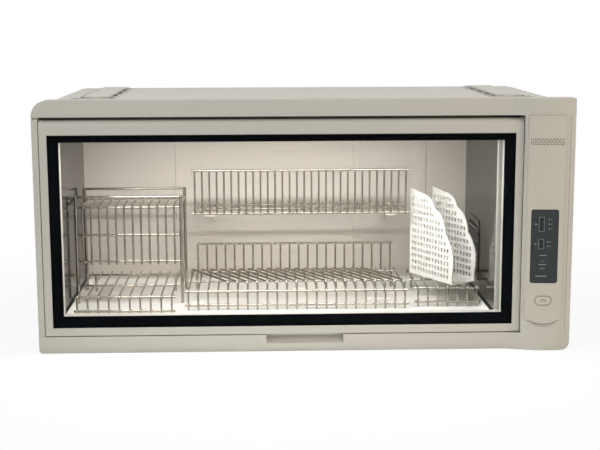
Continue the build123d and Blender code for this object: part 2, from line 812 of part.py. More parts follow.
def plate_rack():
    rods = deck_rack(plate_rack_left, plate_rack_right, plate_rack_setback, plate_rack_depth,
                     plate_wire_count)
    wires = spread(plate_rack_left + wire_inset, plate_rack_right - wire_inset, plate_wire_count)
    loop_y = face_y + plate_rack_setback + loop_front_gap
    for x_back, x_front in zip(wires, wires[loop_wire_count:]):
        rods.append(divider_loop(x_back, x_front, loop_y))
    fence_y = face_y + plate_rack_setback + plate_rack_depth - rail_inset
    foot = deck_height - wire_radius
    top = deck_height + fence_height
    posts = [(a + b) / 2 for a, b in zip(wires, wires[1:])]
    for x in posts:
        rods.append(rod((x, fence_y, foot), (x, fence_y, top), wire_radius))
    z = top + rail_radius
    rods.append(rod((posts[0] - 4.0, fence_y, z), (posts[-1] + 4.0, fence_y, z), rail_radius))
    return Compound(children=rods)


def utensil_rack():
    rods = deck_rack(utensil_rack_left, utensil_rack_right, utensil_rack_setback, utensil_rack_depth,
                     utensil_wire_count)
    return Compound(children=rods)


def bowl_tier():
    """Raised tier on four posts, with a wire skirt in front."""
    y0 = face_y + tier_setback
    y1 = y0 + tier_depth
    rods = []
    for x in (tier_left, tier_right):
        for y in (y0 + tier_post_inset, y1 - tier_post_inset):
            rods.append(rod((x, y, stand_z), (x, y, tier_rail), post_radius))
    inner_left = tier_left + post_radius
    inner_right = tier_right - post_radius
    for y in (y0 + tier_post_inset, y1 - tier_post_inset):
        for z in (tier_rail - rail_radius, tier_deck - wire_radius - rail_radius):
            rods.append(rod((inner_left, y, z), (inner_right, y, z), rail_radius))
    for x in (tier_left, tier_right):
        rods.append(rod((x, y0 + tier_post_inset + post_radius, tier_deck),
                        (x, y1 - tier_post_inset - post_radius, tier_deck), rail_radius))
    skirt_y = y0 + tier_post_inset - rail_radius - wire_radius
    for x in spread(inner_left + 8.0, inner_right - 8.0, tier_wire_count):
        rods.append(rod((x, skirt_y + wire_radius, tier_deck), (x, y1 - 4.0, tier_deck), wire_radius))
        rods.append(rod((x, skirt_y, tier_skirt), (x, skirt_y, tier_deck + wire_radius), wire_radius))
    tie_y = skirt_y + wire_radius + rail_radius
    rods.append(rod((inner_left, tie_y, tier_tie), (inner_right, tie_y, tier_tie), rail_radius))
    rods.append(rod((inner_left, tie_y, tier_skirt + 4.0), (inner_right, tie_y, tier_skirt + 4.0),
                    rail_radius))
    return Compound(children=rods)


def upper_rack_rear():
    return cavity_back - upper_rear_gap


def upper_plate_rack():
    """Shelf of tines along the back wall, behind a tall front fence."""
    y1 = upper_rack_rear()
    y0 = y1 - upper_depth
    rods = []
    below = upper_deck - wire_radius - rail_radius
    for y in spread(y0 + 8.0, y1 - 8.0, 3):
        rods.append(rod((upper_left, y, below), (upper_right, y, below), rail_radius))
    fence_y = y0 + 8.0 - rail_radius - wire_radius
    for x in spread(upper_left + 6.0, upper_right - 6.0, upper_tine_count):
        rods.append(rod((x, fence_y + wire_radius, upper_deck), (x, y1, upper_deck), wire_radius))
        rods.append(rod((x, fence_y, below), (x, fence_y, upper_rail), wire_radius))
    rods.append(rod((upper_left, fence_y, upper_rail + rail_radius),
                    (upper_right, fence_y, upper_rail + rail_radius), rail_radius))
    return Compound(children=rods)


def shelf_brackets():
    """Angles on the back wall that carry the upper plate rack."""
    top = upper_deck - wire_radius - 2 * rail_radius - stand_gap
    brackets = []
    for x in (upper_left + 30.0, upper_right - 30.0):
        arm = block(x - 8, x + 8, upper_rack_rear() - upper_depth + 4.0, cavity_back, top - 2.0, top)
        leg = block(x - 8, x + 8, cavity_back - 2.0, cavity_back, top - 30.0, top)
        gusset = Polygon((cavity_back, top - 28.0), (cavity_back, top - 1.0),
                         (cavity_back - bracket_reach, top - 1.0), align=None)
        brackets.append(arm + leg + along_x(gusset, x - 1, x + 1))
    return Compound(children=brackets)


# ---- utensil caddy ---------------------------------------------------------------------
def caddy_height_at(t):
    """Height of the side panel from its front (t=0) to its back (t=1)."""
    sweep_up = sin(t * pi / 2) ** 0.8
    return caddy_front_height + (caddy_height - caddy_front_height) * sweep_up


def caddy_panel_outline():
    """Side panel in Y and Z: a rising front edge in rounded bumps."""
    y0 = face_y + caddy_setback
    base = deck_height + wire_radius + stand_gap
    y1 = y0 + caddy_length
    line = Polyline((y1, base + caddy_height), (y1, base), (y0, base), (y0, base + caddy_height_at(0)))
    ends = spread(0.0, 0.78, caddy_bump_count + 1)
    shape = line
    for start, stop in zip(ends[:-1], ends[1:]):
        p = (y0 + caddy_length * start ** 1.35, base + caddy_height_at(start))
        q = (y0 + caddy_length * stop ** 1.35, base + caddy_height_at(stop))
        run = hypot(q[0] - p[0], q[1] - p[1])
        mid = ((p[0] + q[0]) / 2 - (q[1] - p[1]) / run * run * 0.16,
               (p[1] + q[1]) / 2 + (q[0] - p[0]) / run * run * 0.16)
        shape += ThreePointArc(p, mid, q)
    crest_start = (y0 + caddy_length * ends[-1] ** 1.35, base + caddy_height_at(ends[-1]))
    shape += ThreePointArc(crest_start, (crest_start[0] + 22.0, base + caddy_height - 2.0),
                           (y1, base + caddy_height))
    return make_face(shape)


def caddy_holes(outline, y0, base):
    """Rows of small upright holes, wherever a whole one has its margin inside the outline."""
    inside = offset(outline, -caddy_hole_margin)
    hole = Rectangle(caddy_hole_width, caddy_hole_height)
    columns = int(caddy_length / caddy_hole_pitch)
    rows = int(caddy_height / caddy_row_pitch)
    places = [Pos(y0 + caddy_hole_pitch * (column + 0.5), base + caddy_row_pitch * (row + 1.0))
              for column in range(columns) for row in range(rows)]
    return [place * hole for place in places
            if (inside & (place * hole)).area > 0.999 * hole.area]


def utensil_caddy():
    """Two tall perforated sides on a slotted floor, turned as the divider loops are."""
    base = deck_height + wire_radius + stand_gap
    y0 = face_y + caddy_setback
    y1 = y0 + caddy_length
    middle = (utensil_rack_left + utensil_rack_right) / 2
    x0, x1 = middle - caddy_width / 2, middle + caddy_width / 2
    outline = caddy_panel_outline()
    sides = along_x(outline, x0, x0 + caddy_wall) + along_x(outline, x1 - caddy_wall, x1)
    holes = along_x(Sketch() + caddy_holes(outline, y0, base), x0 - 1, x1 + 1)
    floor = block(x0, x1, y0, y1, base, base + caddy_wall)
    for x in spread(x0 + 8.0, x1 - 8.0, 5):
        floor -= block(x - 2, x + 2, y0 + 10, y1 - 10, base - 1, base + caddy_wall + 1)
    back = block(x0, x1, y1 - caddy_wall, y1, base, base + caddy_height * 0.55)
    caddy = sides - holes + floor + back
    return caddy.rotate(Axis((middle, (y0 + y1) / 2, 0), (0, 0, 1)), caddy_turn)


# ---- air, heat and lamp -------------------------------------------------------------------
duct_x = cavity_right + liner_sheet
fan_x = duct_x + duct_length


def square(x0, x1, half):
    return block(x0, x1, fan_y - half, fan_y + half, fan_z - half, fan_z + half)


def heater_duct():
    half = fan_size / 2
    return square(duct_x, fan_x, half) - square(duct_x - 1, fan_x + 1, half - duct_wall)


def heater_element():
    half = fan_size / 2 - duct_wall
    x0 = duct_x + 5.0
    element = square(x0, x0 + heater_thickness, half)
    for z in spread(fan_z - half + 8.0, fan_z + half - 8.0, heater_slots):
        element -= block(x0 - 1, x0 + heater_thickness + 1, fan_y - half + 6, fan_y + half - 6, z - 3, z + 3)
    return element


def fan_rod(x0, x1, radius):
    return rod((x0, fan_y, fan_z), (x1, fan_y, fan_z), radius)


strut_thickness = 3.0


def fan_frame():
    x1 = fan_x + fan_thickness
    frame = square(fan_x, x1, fan_size / 2)
    frame = fillet(frame.edges().filter_by(Axis.X), 4.0)
    frame -= fan_rod(fan_x - 1, x1 + 1, fan_bore / 2)
    plate = fan_rod(x1 - strut_thickness, x1, hub_radius)
    for turn in range(3):
        strut = block(x1 - strut_thickness, x1, fan_y - 3, fan_y + 3, fan_z, fan_z + fan_bore / 2 + 1)
        plate += strut.rotate(Axis((0, fan_y, fan_z), (1, 0, 0)), 120.0 * turn)
    return frame + plate - fan_rod(x1 - 9, x1 + 1, shaft_radius + pin_running)


def fan_motor():
    x0 = fan_x + fan_thickness
    body = fan_rod(x0, x0 + motor_length, hub_radius)
    body = fillet(body.edges().sort_by(Axis.X)[-1], 2.0)
    return body - fan_rod(x0 - 1, x0 + motor_length - 4, shaft_radius + pin_running)


def fan_impeller():
    """Hub, pitched blades and the shaft that runs in the motor."""
    x1 = fan_x + fan_thickness
    hub_start = fan_x + 3.0
    hub_end = x1 - strut_thickness - 1.0
    wheel = fan_rod(hub_start, hub_end, hub_radius)
    wheel = fillet(wheel.edges().sort_by(Axis.X)[0], 2.0)
    reach = fan_bore / 2 - blade_tip_gap
    chord = (hub_end - hub_start) / cos(radians(blade_pitch)) * 0.82
    middle = (hub_start + hub_end) / 2
    limit = fan_rod(hub_start, hub_end, reach)
    for i in range(blade_count):
        blade = Box(chord, 1.6, reach - hub_radius + 6)
        blade = Rot(0, 0, blade_pitch) * blade
        blade = Pos(middle, fan_y, fan_z + hub_radius - 3 + (reach - hub_radius + 6) / 2) * blade
        blade = blade.rotate(Axis((0, fan_y, fan_z), (1, 0, 0)), 360.0 * i / blade_count)
        wheel += blade & limit
    return wheel + fan_rod(hub_end - 1, x1 + motor_length - 5.0, shaft_radius)


def lamp_z():
    return cavity_ceiling - lamp_drop


def lamp_middle():
    return (cavity_left + cavity_right) / 2


def uv_lamp():
    tube = rod((lamp_middle() - lamp_length / 2, lamp_y, lamp_z()),
               (lamp_middle() + lamp_length / 2, lamp_y, lamp_z()), lamp_radius)
    return tube


def lamp_holders():
    """End sockets that hang the tube from the ceiling."""
    holders = []
    for side in (-1, 1):
        inner = lamp_middle() + side * lamp_length / 2
        x0, x1 = sorted((inner - side * 10.0, inner + side * 8.0))
        half = lamp_radius + 3.0
        body = block(x0, x1, lamp_y - half, lamp_y + half, lamp_z() - half, cavity_ceiling)
        body = fillet(body.edges().filter_by(Axis.X).sort_by(Axis.Z)[:2], 5.0)
        a, b = sorted((inner, inner - side * 11.0))
        holders.append(body - rod((a, lamp_y, lamp_z()), (b, lamp_y, lamp_z()), lamp_radius))
    return Compound(children=holders)


# ---- supply ---------------------------------------------------------------------------------
gland_radius = 8.0
gland_flange = 12.0
switch_x = cavity_right + 22.0
switch_drop = 34.0              # below the cavity's ceiling
switch_z = cavity_ceiling - switch_drop
gland_setback = 34.0            # in front of the back panel's outside
gland_height = 46.0
plunger_radius = 1.6
unit_width = 74.0
unit_depth = 90.0
unit_height = 46.0
unit_setback = 22.0              # behind the front frame
unit_gap = 8.0
block_depth = 16.0
block_low = 34.0
block_high = 56.0
block_near = 24.0               # from the inlet's axis
block_far = 74.0
block_rim = 6.0
block_way_width = 7.0
block_way_count = 4


def gland_place():
    """Y and Z of the supply inlet in the right side panel."""
    return back_y - gland_setback, gland_height


def cord_gland():
    gland = gland_place()
    inner = casing_side - casing_sheet
    barrel = rod((inner - 10.0, *gland), (casing_side, *gland), gland_radius)
    flange = rod((casing_side, *gland), (half_width, *gland), gland_flange)
    nut = rod((inner - 6.0, *gland), (inner, *gland), gland_flange)
    return barrel + flange + nut - rod((inner - 11.0, *gland), (half_width + 1, *gland), 4.0)


def terminal_block():
    gland_y = gland_place()[0]
    inner = casing_side - casing_sheet
    body = block(inner - block_depth, inner, gland_y - block_far, gland_y - block_near,
                 block_low, block_high)
    half = block_way_width / 2
    for y in spread(gland_y - block_far + block_rim, gland_y - block_near - block_rim, block_way_count):
        body -= block(inner - block_depth - 1, inner - block_rim, y - half, y + half,
                      block_low + half, block_high - half)
    return body


def power_unit():
    x0 = cavity_right + liner_sheet + unit_gap
    y0 = body_y + unit_setback
    box = block(x0, x0 + unit_width, y0, y0 + unit_depth, casing_sheet, unit_height)
    return fillet(box.edges().filter_by(Axis.Z), 3.0)


def door_switch():
    back = body_y + casing_sheet
    body = block(switch_x - 10, switch_x + 10, back, back + 10.0, switch_z - 5, switch_z + 5)
    return body + rod((switch_x, door_back + seal_gap, switch_z), (switch_x, back, switch_z), plunger_radius)


# ---- all nodes --------------------------------------------------------------------------------
def build_all():
    parts["front_bezel"] = front_bezel()
    parts["left_trim"] = left_trim()
    parts["bottom_rail"] = bottom_rail()
    parts["control_housing"] = control_housing()
    parts["control_fascia"] = control_fascia()
    parts["display_window"] = display_window()
    parts["indicator_leds"] = indicator_leds()
    parts["power_button"] = power_button()
    parts["button_switch"] = button_switch()
    parts["control_board"] = control_board()
    parts["board_standoffs"] = board_standoffs()
    parts["top_cover"] = top_cover()
    parts["vent_grille_left"] = vent_grille(-1)
    parts["vent_grille_right"] = vent_grille(1)
    parts["side_panel_left"] = side_panel(-1)
    parts["side_panel_right"] = side_panel(1)
    parts["back_panel"] = back_panel()
    parts["base_pan"] = base_pan()
    parts["hanger_plate_left"] = hanger_plate(hanging_places()[0])
    parts["hanger_plate_right"] = hanger_plate(hanging_places()[1])
    parts["casing_screws"] = casing_screws()
    parts["front_flange"] = front_flange()
    parts["liner_left"] = liner_wall(cavity_left - liner_sheet, cavity_left, cavity_floor, cavity_ceiling)
    parts["liner_right"] = liner_right()
    parts["liner_back"] = block(cavity_left - liner_sheet, cavity_right + liner_sheet, cavity_back,
                                cavity_back + liner_sheet, cavity_floor - liner_sheet,
                                cavity_ceiling + liner_sheet)
    parts["liner_ceiling"] = liner_wall(cavity_left - liner_sheet, cavity_right + liner_sheet,
                                        cavity_ceiling, cavity_ceiling + liner_sheet)
    parts["liner_floor"] = liner_wall(cavity_left - liner_sheet, cavity_right + liner_sheet,
                                      cavity_floor - liner_sheet, cavity_floor)
    parts["air_grille"] = air_grille()
    parts["drip_tray"] = drip_tray()
    parts["door_frame"] = door_frame()
    parts["door_glass"] = door_glass()
    parts["glass_mask"] = glass_mask()
    parts["glass_retainer"] = glass_retainer()
    parts["hinge_pin_left"] = hinge_pin(-1)
    parts["hinge_pin_right"] = hinge_pin(1)
    parts["hinge_cartridge_left"] = hinge_cartridge(-1)
    parts["hinge_cartridge_right"] = hinge_cartridge(1)
    parts["hinge_block"] = hinge_block()
    parts["door_magnets"] = door_magnets()
    parts["catch_plates"] = catch_plates()
    parts["door_seal"] = door_seal()
    parts["cup_rack"] = cup_rack()
    parts["bowl_tier"] = bowl_tier()
    parts["plate_rack"] = plate_rack()
    parts["upper_plate_rack"] = upper_plate_rack()
    parts["shelf_brackets"] = shelf_brackets()
    parts["utensil_rack"] = utensil_rack()
    parts["utensil_caddy"] = utensil_caddy()
    parts["heater_duct"] = heater_duct()
    parts["heater_element"] = heater_element()
    parts["fan_frame"] = fan_frame()
    parts["fan_motor"] = fan_motor()
    parts["fan_impeller"] = fan_impeller()
    parts["uv_lamp"] = uv_lamp()
    parts["lamp_holders"] = lamp_holders()
    parts["cord_gland"] = cord_gland()
    parts["terminal_block"] = terminal_block()
    parts["power_unit"] = power_unit()
    parts["door_switch"] = door_switch()


build_all()
os.makedirs("parts", exist_ok=True)
for name, shape in parts.items():
    export_step(shape, f"parts/{name}.step")
print(len(parts), "nodes")
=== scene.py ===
"""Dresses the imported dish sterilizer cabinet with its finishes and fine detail, on a plain pale stage."""

import json
from math import cos, pi, radians, sin

import bmesh
import bpy
from bpy.props import FloatProperty, FloatVectorProperty, IntProperty, PointerProperty
from mathutils import Matrix, Vector
from mathutils.bvhtree import BVHTree

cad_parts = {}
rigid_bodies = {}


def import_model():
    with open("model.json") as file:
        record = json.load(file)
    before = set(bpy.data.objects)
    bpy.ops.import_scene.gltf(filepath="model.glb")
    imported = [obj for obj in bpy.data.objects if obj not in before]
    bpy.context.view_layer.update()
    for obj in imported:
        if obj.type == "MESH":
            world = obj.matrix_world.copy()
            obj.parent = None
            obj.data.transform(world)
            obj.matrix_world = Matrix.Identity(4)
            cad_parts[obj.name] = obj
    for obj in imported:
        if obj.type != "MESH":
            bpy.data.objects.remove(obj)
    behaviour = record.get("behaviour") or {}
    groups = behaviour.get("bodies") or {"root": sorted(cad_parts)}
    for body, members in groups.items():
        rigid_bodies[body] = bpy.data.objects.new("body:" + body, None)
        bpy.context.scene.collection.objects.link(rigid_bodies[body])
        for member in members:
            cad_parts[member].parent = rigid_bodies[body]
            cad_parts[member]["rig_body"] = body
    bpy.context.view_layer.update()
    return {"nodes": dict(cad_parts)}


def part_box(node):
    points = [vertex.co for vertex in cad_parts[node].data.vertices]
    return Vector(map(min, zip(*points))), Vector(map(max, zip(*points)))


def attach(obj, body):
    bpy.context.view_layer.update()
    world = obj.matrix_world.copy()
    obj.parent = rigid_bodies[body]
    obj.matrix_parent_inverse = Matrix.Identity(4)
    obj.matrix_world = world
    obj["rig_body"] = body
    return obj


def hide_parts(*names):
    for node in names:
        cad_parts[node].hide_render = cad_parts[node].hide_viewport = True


bl_info = {
    "name": "Dish Sterilizer Cabinet",
    "version": (1, 0, 0),
    "blender": (4, 5, 0),
    "location": "3D View > Sidebar > Cabinet",
    "description": "Finishes, soft edges and fine detail for the packed cabinet, and its stage",
    "category": "Object",
}

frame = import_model()
nodes = frame["nodes"]

MM = 0.001
WELD = 2e-6                     # corners of the frame's loose triangles closer than this are one
NEAR = 1e-5                     # slack of a comparison of places
FLAT = radians(0.6)             # faces that turn less than this are one flat face
CORNER = radians(28.0)          # edges sharper than this are rounded off
WIRE_CORNER = radians(50.0)     # the same on round wire, whose sides turn in larger steps
finishes = {}

# The sizes below are in millimetres, and give what the settings in the sidebar don't.
CREST_BAND, CREST_DEPTH = 20.0, 6.0     # the crest's edges lie this near the top, and this far from the rear
SEAM_SHADE_SIZE = (7.0, 0.5)                  # depth and height of the black strip on the door's top, which paints the seam's shade
SEAM_SHADE_ENDS, SEAM_SHADE_SETBACK, SEAM_SHADE_SEAT = 8.0, 6.5, 0.1

# Signs of the display, measured from the window's upper left corner.
LENS_X, LENS_RADIUS, LENS_PITCH = 15.1, 1.7, 6.7
LENS_GROUPS = ((14.9, 3, 26.1), (48.0, 2, 24.7))    # first drop, count, and place of the dots beside them
DOT_RADIUS, DASH_OFFSET, DASH_SIZE = 0.95, 3.4, (2.6, 0.5)
FIELDS = ((11.0, 32.8), (44.2, 58.6))               # top and bottom of each bracket
FIELD_SIDES, FIELD_LINE = (11.4, 18.8), 0.4
TICK_X, TICK_LENGTH, TICK_DOT_X, TICK_DOT = 9.4, 3.0, 6.6, 1.05
BARS = ((68.2, 13.0, 24.0, 0.9), (82.0, 12.0, 23.0, 1.0), (88.0, 14.0, 21.0, 0.8),
        (99.5, 8.0, 24.0, 1.2))                     # drop, left end, right end, height
DISPLAY_BOW = (17.5, 79.6, 2.6, 0.5)                # place of its centre, radius, line

BOW_DROP, BOWS = 1.8, ((3.5, 0.8), (1.4, 0.6))      # on the button: centre's drop, radius and line of each
BUTTON_ROOM, BUTTON_SHADE_LINE = 1.5, 0.55                # from the button to the dark line round it, which paints the shade of its gap, and the line's width

# Fine holes high on the fascia. The first row lies this far under the fascia's top.
HOLES_DROP, HOLE_PITCH, HOLE_ROWS, HOLE_COLUMNS = 33.5, 2.6, 4, 19
# The last size is the black sheet under the holes, which paints their shade.
HOLE_RIM, HOLE_SHADE_SHEET = 1.0, (49.0, 10.0)

# The fascia's lower lip is a bow. A dark line that paints its shadow is drawn over a share of it, a little
# lower, with two rows of dots of painted shadow under it.
LIP_SAG, LIP_SHARE, LIP_DROP, LIP_SHADOW_LINE = 7.5, 0.93, 0.9, 0.7
LIP_SHADE_DOT_SIZE, LIP_SHADE_DOT_ROWS = 0.65, ((2.6, 0.66, 15), (4.9, 0.4, 9))  # drop under the lip, share of its bow, count

REAR_ROOM = 12.0                        # more flat sheet along a side's rear edge, for its screws
RIGHT_FRONT, RIGHT_FOOT = 78.0, 105.0   # flat sheet that the right side keeps
BACK_ROOM = (2.0, 1.4, 3.4)             # the back's flat sides, foot and top, in field margins
BASE_ROOM, BASE_RIGHT = 1.5, 130.0      # the same of the base's sides, and its flat right end

# Black sheets that paint the shade in the vents' slots, screws along the sides' rear edges, and hoods with a
# black slab under each, which paints the shade of its mouth.
VENT_INSET, VENT_LEVEL, VENT_SHEET = 1.6, 0.5, 0.5
VENT_CELL = (1.2, -0.15)                # bar and depth of the cells of the black sheet that paints a vent's shade
SCREWS, SCREW_FOOT, SCREW_TOP, SCREW_REAR, SCREW_HEIGHT = 4, 16.0, 14.0, 9.0, 1.1

HOOD_SIZE, HOOD_OUT = (2.2, 5.4), 0.3               # thickness and height, and how far out its middle is
HOOD_SLOPE = (-1.1, 0.0, -0.4)                      # shift of the upper outer edge
# The black slab under each hood paints the shade of its mouth.
MOUTH_SHADE_SIZE, MOUTH_SHADE_OUT, MOUTH_SHADE_DROP, MOUTH_SHADE_ENDS = (1.2, 1.3), 0.2, 3.1, 3.0

BACK_RIBS = ((-205.0, 1.0), (98.0, 1.0), (212.0, 1.6))      # middle, and width in rib widths
RIB_ENDS = 18.0
DECK_WIRES = {"cup_rack": 10, "plate_rack": 23, "utensil_rack": 7}
FENCE_HEIGHT = {"plate_rack": 45.7}                 # what stands on a deck's own height
# Cross rails under a deck's wires, from the deck's sides, front and rear.
RAILS, RAIL_DROP, RAIL_SIDES, RAIL_FRONT, RAIL_REAR = 3, 3.0, 6.0, 10.5, 9.0

# The stage's sizes are in metres.
AIM = Vector((0.0, 0.0, 0.18))
LAMPS = (("key", (-1.25, -1.5, 1.2), 1.0, (0.78, 0.92, 1.0)),
         ("fill", (1.45, -1.3, 0.8), 1.0, (1.0, 0.87, 0.70)),
         ("top", (0.0, -0.5, 1.9), 1.5, (0.97, 0.98, 1.0)))
STRIP_PLACE, STRIP_AIM = (-0.04, -0.09, 0.329), Vector((-0.04, -0.1, 0.04))
STRIP_SIZE, STRIP_COLOUR = (0.56, 0.03), (0.965, 0.985, 1.0)
FLOOR_RADIUS, FLOOR_NEAR, FLOOR_FAR, FLOOR_SHADE = 9.0, 0.4, 1.0, 0.88


# ---- colours --------------------------------------------------------------------
def tone(red, green, blue):
    """Linear colour of an sRGB colour given from 0 to 255."""
    return tuple((c / 255 / 12.92) if c <= 10 else ((c / 255 + 0.055) / 1.055) ** 2.4
                 for c in (red, green, blue))


def colour_prop(name, description, screen_colour):
    """Colour setting, given as an sRGB colour."""
    return FloatVectorProperty(name=name, description=description, subtype="COLOR", size=3,
                               min=0.0, max=1.0, default=tone(*screen_colour))


def length_prop(name, description, millimetres):
    """Length setting, given in millimetres."""
    return FloatProperty(name=name, description=description, default=millimetres * MM,
                         unit="LENGTH", precision=5)


class CabinetFinish(bpy.types.PropertyGroup):
    """Colours of the cabinet's visible surfaces."""
    moulding: colour_prop("Moulding", "Front frame and door frame", (184, 179, 168))
    fascia: colour_prop("Fascia", "Raised strip of the control column", (186, 179, 166))
    casing: colour_prop("Casing", "Powder coat of the metal casing", (196, 191, 180))
    mask: colour_prop("Mask", "Printed border behind the door glass", (7, 9, 13))
    glass: colour_prop("Glass", "Clear part of the door", (20, 24, 26))
    window: colour_prop("Window", "Display window", (43, 48, 48))
    marks: colour_prop("Marks", "Signs printed on the display", (132, 138, 138))
    # The print colour also paints the shade round the button and the shadow under the fascia's lip.
    print: colour_prop("Print", "Fine signs printed on the fascia", (84, 79, 73))
    enamel: colour_prop("Enamel", "Pale sheet of the cavity", (222, 214, 203))
    tray: colour_prop("Tray", "Glazed white of the drip tray", (247, 245, 238))
    # Far darker than steel's own colour: besides the sheet's tone, it paints the reflections of shade in the
    # cavity's polished walls.
    steel: colour_prop("Steel", "Polished sheet of the cavity", (62, 57, 50))
    wire: colour_prop("Wire", "Bright plating of the racks", (168, 161, 150))
    caddy: colour_prop("Caddy", "White utensil caddy", (232, 229, 222))


class CabinetEdges(bpy.types.PropertyGroup):
    """Roundings and small heights that the frame leaves sharp."""
    moulding: length_prop("Moulding edge", "Rounding of the plastic front's edges", 0.9)
    crest: length_prop("Crest", "Rounding along the upper front edge of the bezel", 2.4)
    fine: length_prop("Fine edge", "Rounding of small parts", 0.35)
    sheet: length_prop("Sheet edge", "Rounding of metal sheet edges", 0.3)
    print_height: length_prop("Print height", "How far printed signs stand on what carries them", 0.06)
    segments: IntProperty(name="Segments", description="Steps in each rounding", default=3, min=1)


class CabinetDetail(bpy.types.PropertyGroup):
    """Sizes of the fine detail that the frame doesn't carry."""
    rib_width: length_prop("Rib width", "Pressed ribs in the cavity's back wall", 9.0)
    rib_height: length_prop("Rib height", "How far those ribs stand forward", 1.4)
    field_margin: length_prop("Field margin", "Flat strip round a pressed field of the casing", 26.0)
    field_slope: length_prop("Field slope", "Width of the slope round a pressed field", 5.0)
    field_depth: length_prop("Field depth", "How far a field is pressed in", 1.6)
    weld: length_prop("Weld", "Radius of the weld where two wires cross", 1.15)
    screw: length_prop("Screw head", "Radius of the casing's side screws", 3.6)
    hood_length: length_prop("Hood length", "Length of one air hood in the side", 62.0)
    hood_pitch: length_prop("Hood pitch", "From one air hood to the next", 11.0)
    hoods: IntProperty(name="Hoods", description="Air hoods one above the other", default=7, min=1)


class CabinetStage(bpy.types.PropertyGroup):
    """Camera, lamps and floor."""
    camera_place: FloatVectorProperty(name="Camera", description="Where the camera stands",
                                      subtype="TRANSLATION", unit="LENGTH",
                                      default=(-0.0639, -1.952, 0.4908))
    camera_pitch: FloatProperty(name="Pitch", description="Camera turned down", subtype="ANGLE",
                                default=radians(9.46))
    camera_yaw: FloatProperty(name="Yaw", description="Camera turned to the right", subtype="ANGLE",
                              default=radians(1.81))
    camera_roll: FloatProperty(name="Roll", description="Camera rolled", subtype="ANGLE",
                               default=radians(-0.18))
    lens: FloatProperty(name="Lens", description="Focal length in millimetres on a 36 mm wide frame",
                        default=74.5, subtype="DISTANCE_CAMERA")
    key_power: FloatProperty(name="Key", description="Power of the large lamp at the left", unit="POWER",
                             default=8.2)
    fill_power: FloatProperty(name="Fill", description="Power of the warm lamp at the right",
                              unit="POWER", default=9.4)
    top_power: FloatProperty(name="Top", description="Power of the soft lamp overhead", unit="POWER",
                             default=10.0)
    inner_power: FloatProperty(name="Inner", description="Power of the strip lamp in the cavity",
                               unit="POWER", default=2.3)
    sky: FloatProperty(name="Sky", description="Strength of the even light all round", default=0.44)


# ---- materials --------------------------------------------------------------------
def add(tree, kind, inputs=None, **settings):
    """New shader node with its settings, its input values and its links."""
    node = tree.nodes.new(kind)
    for setting, value in settings.items():
        setattr(node, setting, value)
    for socket, value in (inputs or {}).items():
        if isinstance(value, bpy.types.NodeSocket):
            tree.links.new(value, node.inputs[socket])
        else:
            node.inputs[socket].default_value = value
    return node


def shade(colour, factor):
    """Lighter or darker form of a colour, for a shader's socket."""
    return (*(min(1.0, c * factor) for c in colour), 1.0)


def blank(name):
    """New material with its node tree and its shader."""
    material = bpy.data.materials.new(name)
    material.use_nodes = True
    tree = material.node_tree
    return material, tree, tree.nodes["Principled BSDF"]


def finish(name, colour, rough, spread=0.06, mottle=0.05, patch=7.0, grain=900.0, relief=0.02,
           stretch=(1.0, 1.0, 1.0), **sockets):
    """Surface with clouded colour, uneven gloss and a fine grain, all read from the place on the object.

    mottle is how much the colour strays, and patch how many clouds there are to a metre. rough and spread are
    the roughness and how much it strays. grain is the grain's count to a metre, relief its height in
    millimetres, and stretch draws the grain out in a direction. sockets go to the shader as they are.
    """
    material, tree, shader = blank(name)
    place = add(tree, "ShaderNodeTexCoord").outputs["Object"]
    drawn = add(tree, "ShaderNodeMapping", {"Vector": place, "Scale": stretch}).outputs["Vector"]
    clouds = add(tree, "ShaderNodeTexNoise", {"Vector": place, "Scale": patch, "Detail": 3.0})
    ramp = add(tree, "ShaderNodeValToRGB", {"Fac": clouds.outputs["Fac"]})
    low, high = ramp.color_ramp.elements
    low.position, high.position = 0.3, 0.7
    low.color, high.color = shade(colour, 1.0 - mottle), shade(colour, 1.0 + mottle)
    tree.links.new(ramp.outputs["Color"], shader.inputs["Base Color"])
    fine = add(tree, "ShaderNodeTexNoise", {"Vector": drawn, "Scale": grain, "Detail": 2.0})
    gloss = add(tree, "ShaderNodeTexNoise", {"Vector": drawn, "Scale": grain * 0.04, "Detail": 4.0})
    level = add(tree, "ShaderNodeMapRange",
                {"Value": gloss.outputs["Fac"], "From Min": 0.3, "From Max": 0.7,
                 "To Min": rough - spread, "To Max": rough + spread})
    tree.links.new(level.outputs["Result"], shader.inputs["Roughness"])
    bump = add(tree, "ShaderNodeBump", {"Height": fine.outputs["Fac"], "Distance": relief * MM,
                                        "Strength": 1.0})
    tree.links.new(bump.outputs["Normal"], shader.inputs["Normal"])
    for socket, value in sockets.items():
        shader.inputs[socket.replace("_", " ")].default_value = value
    return material


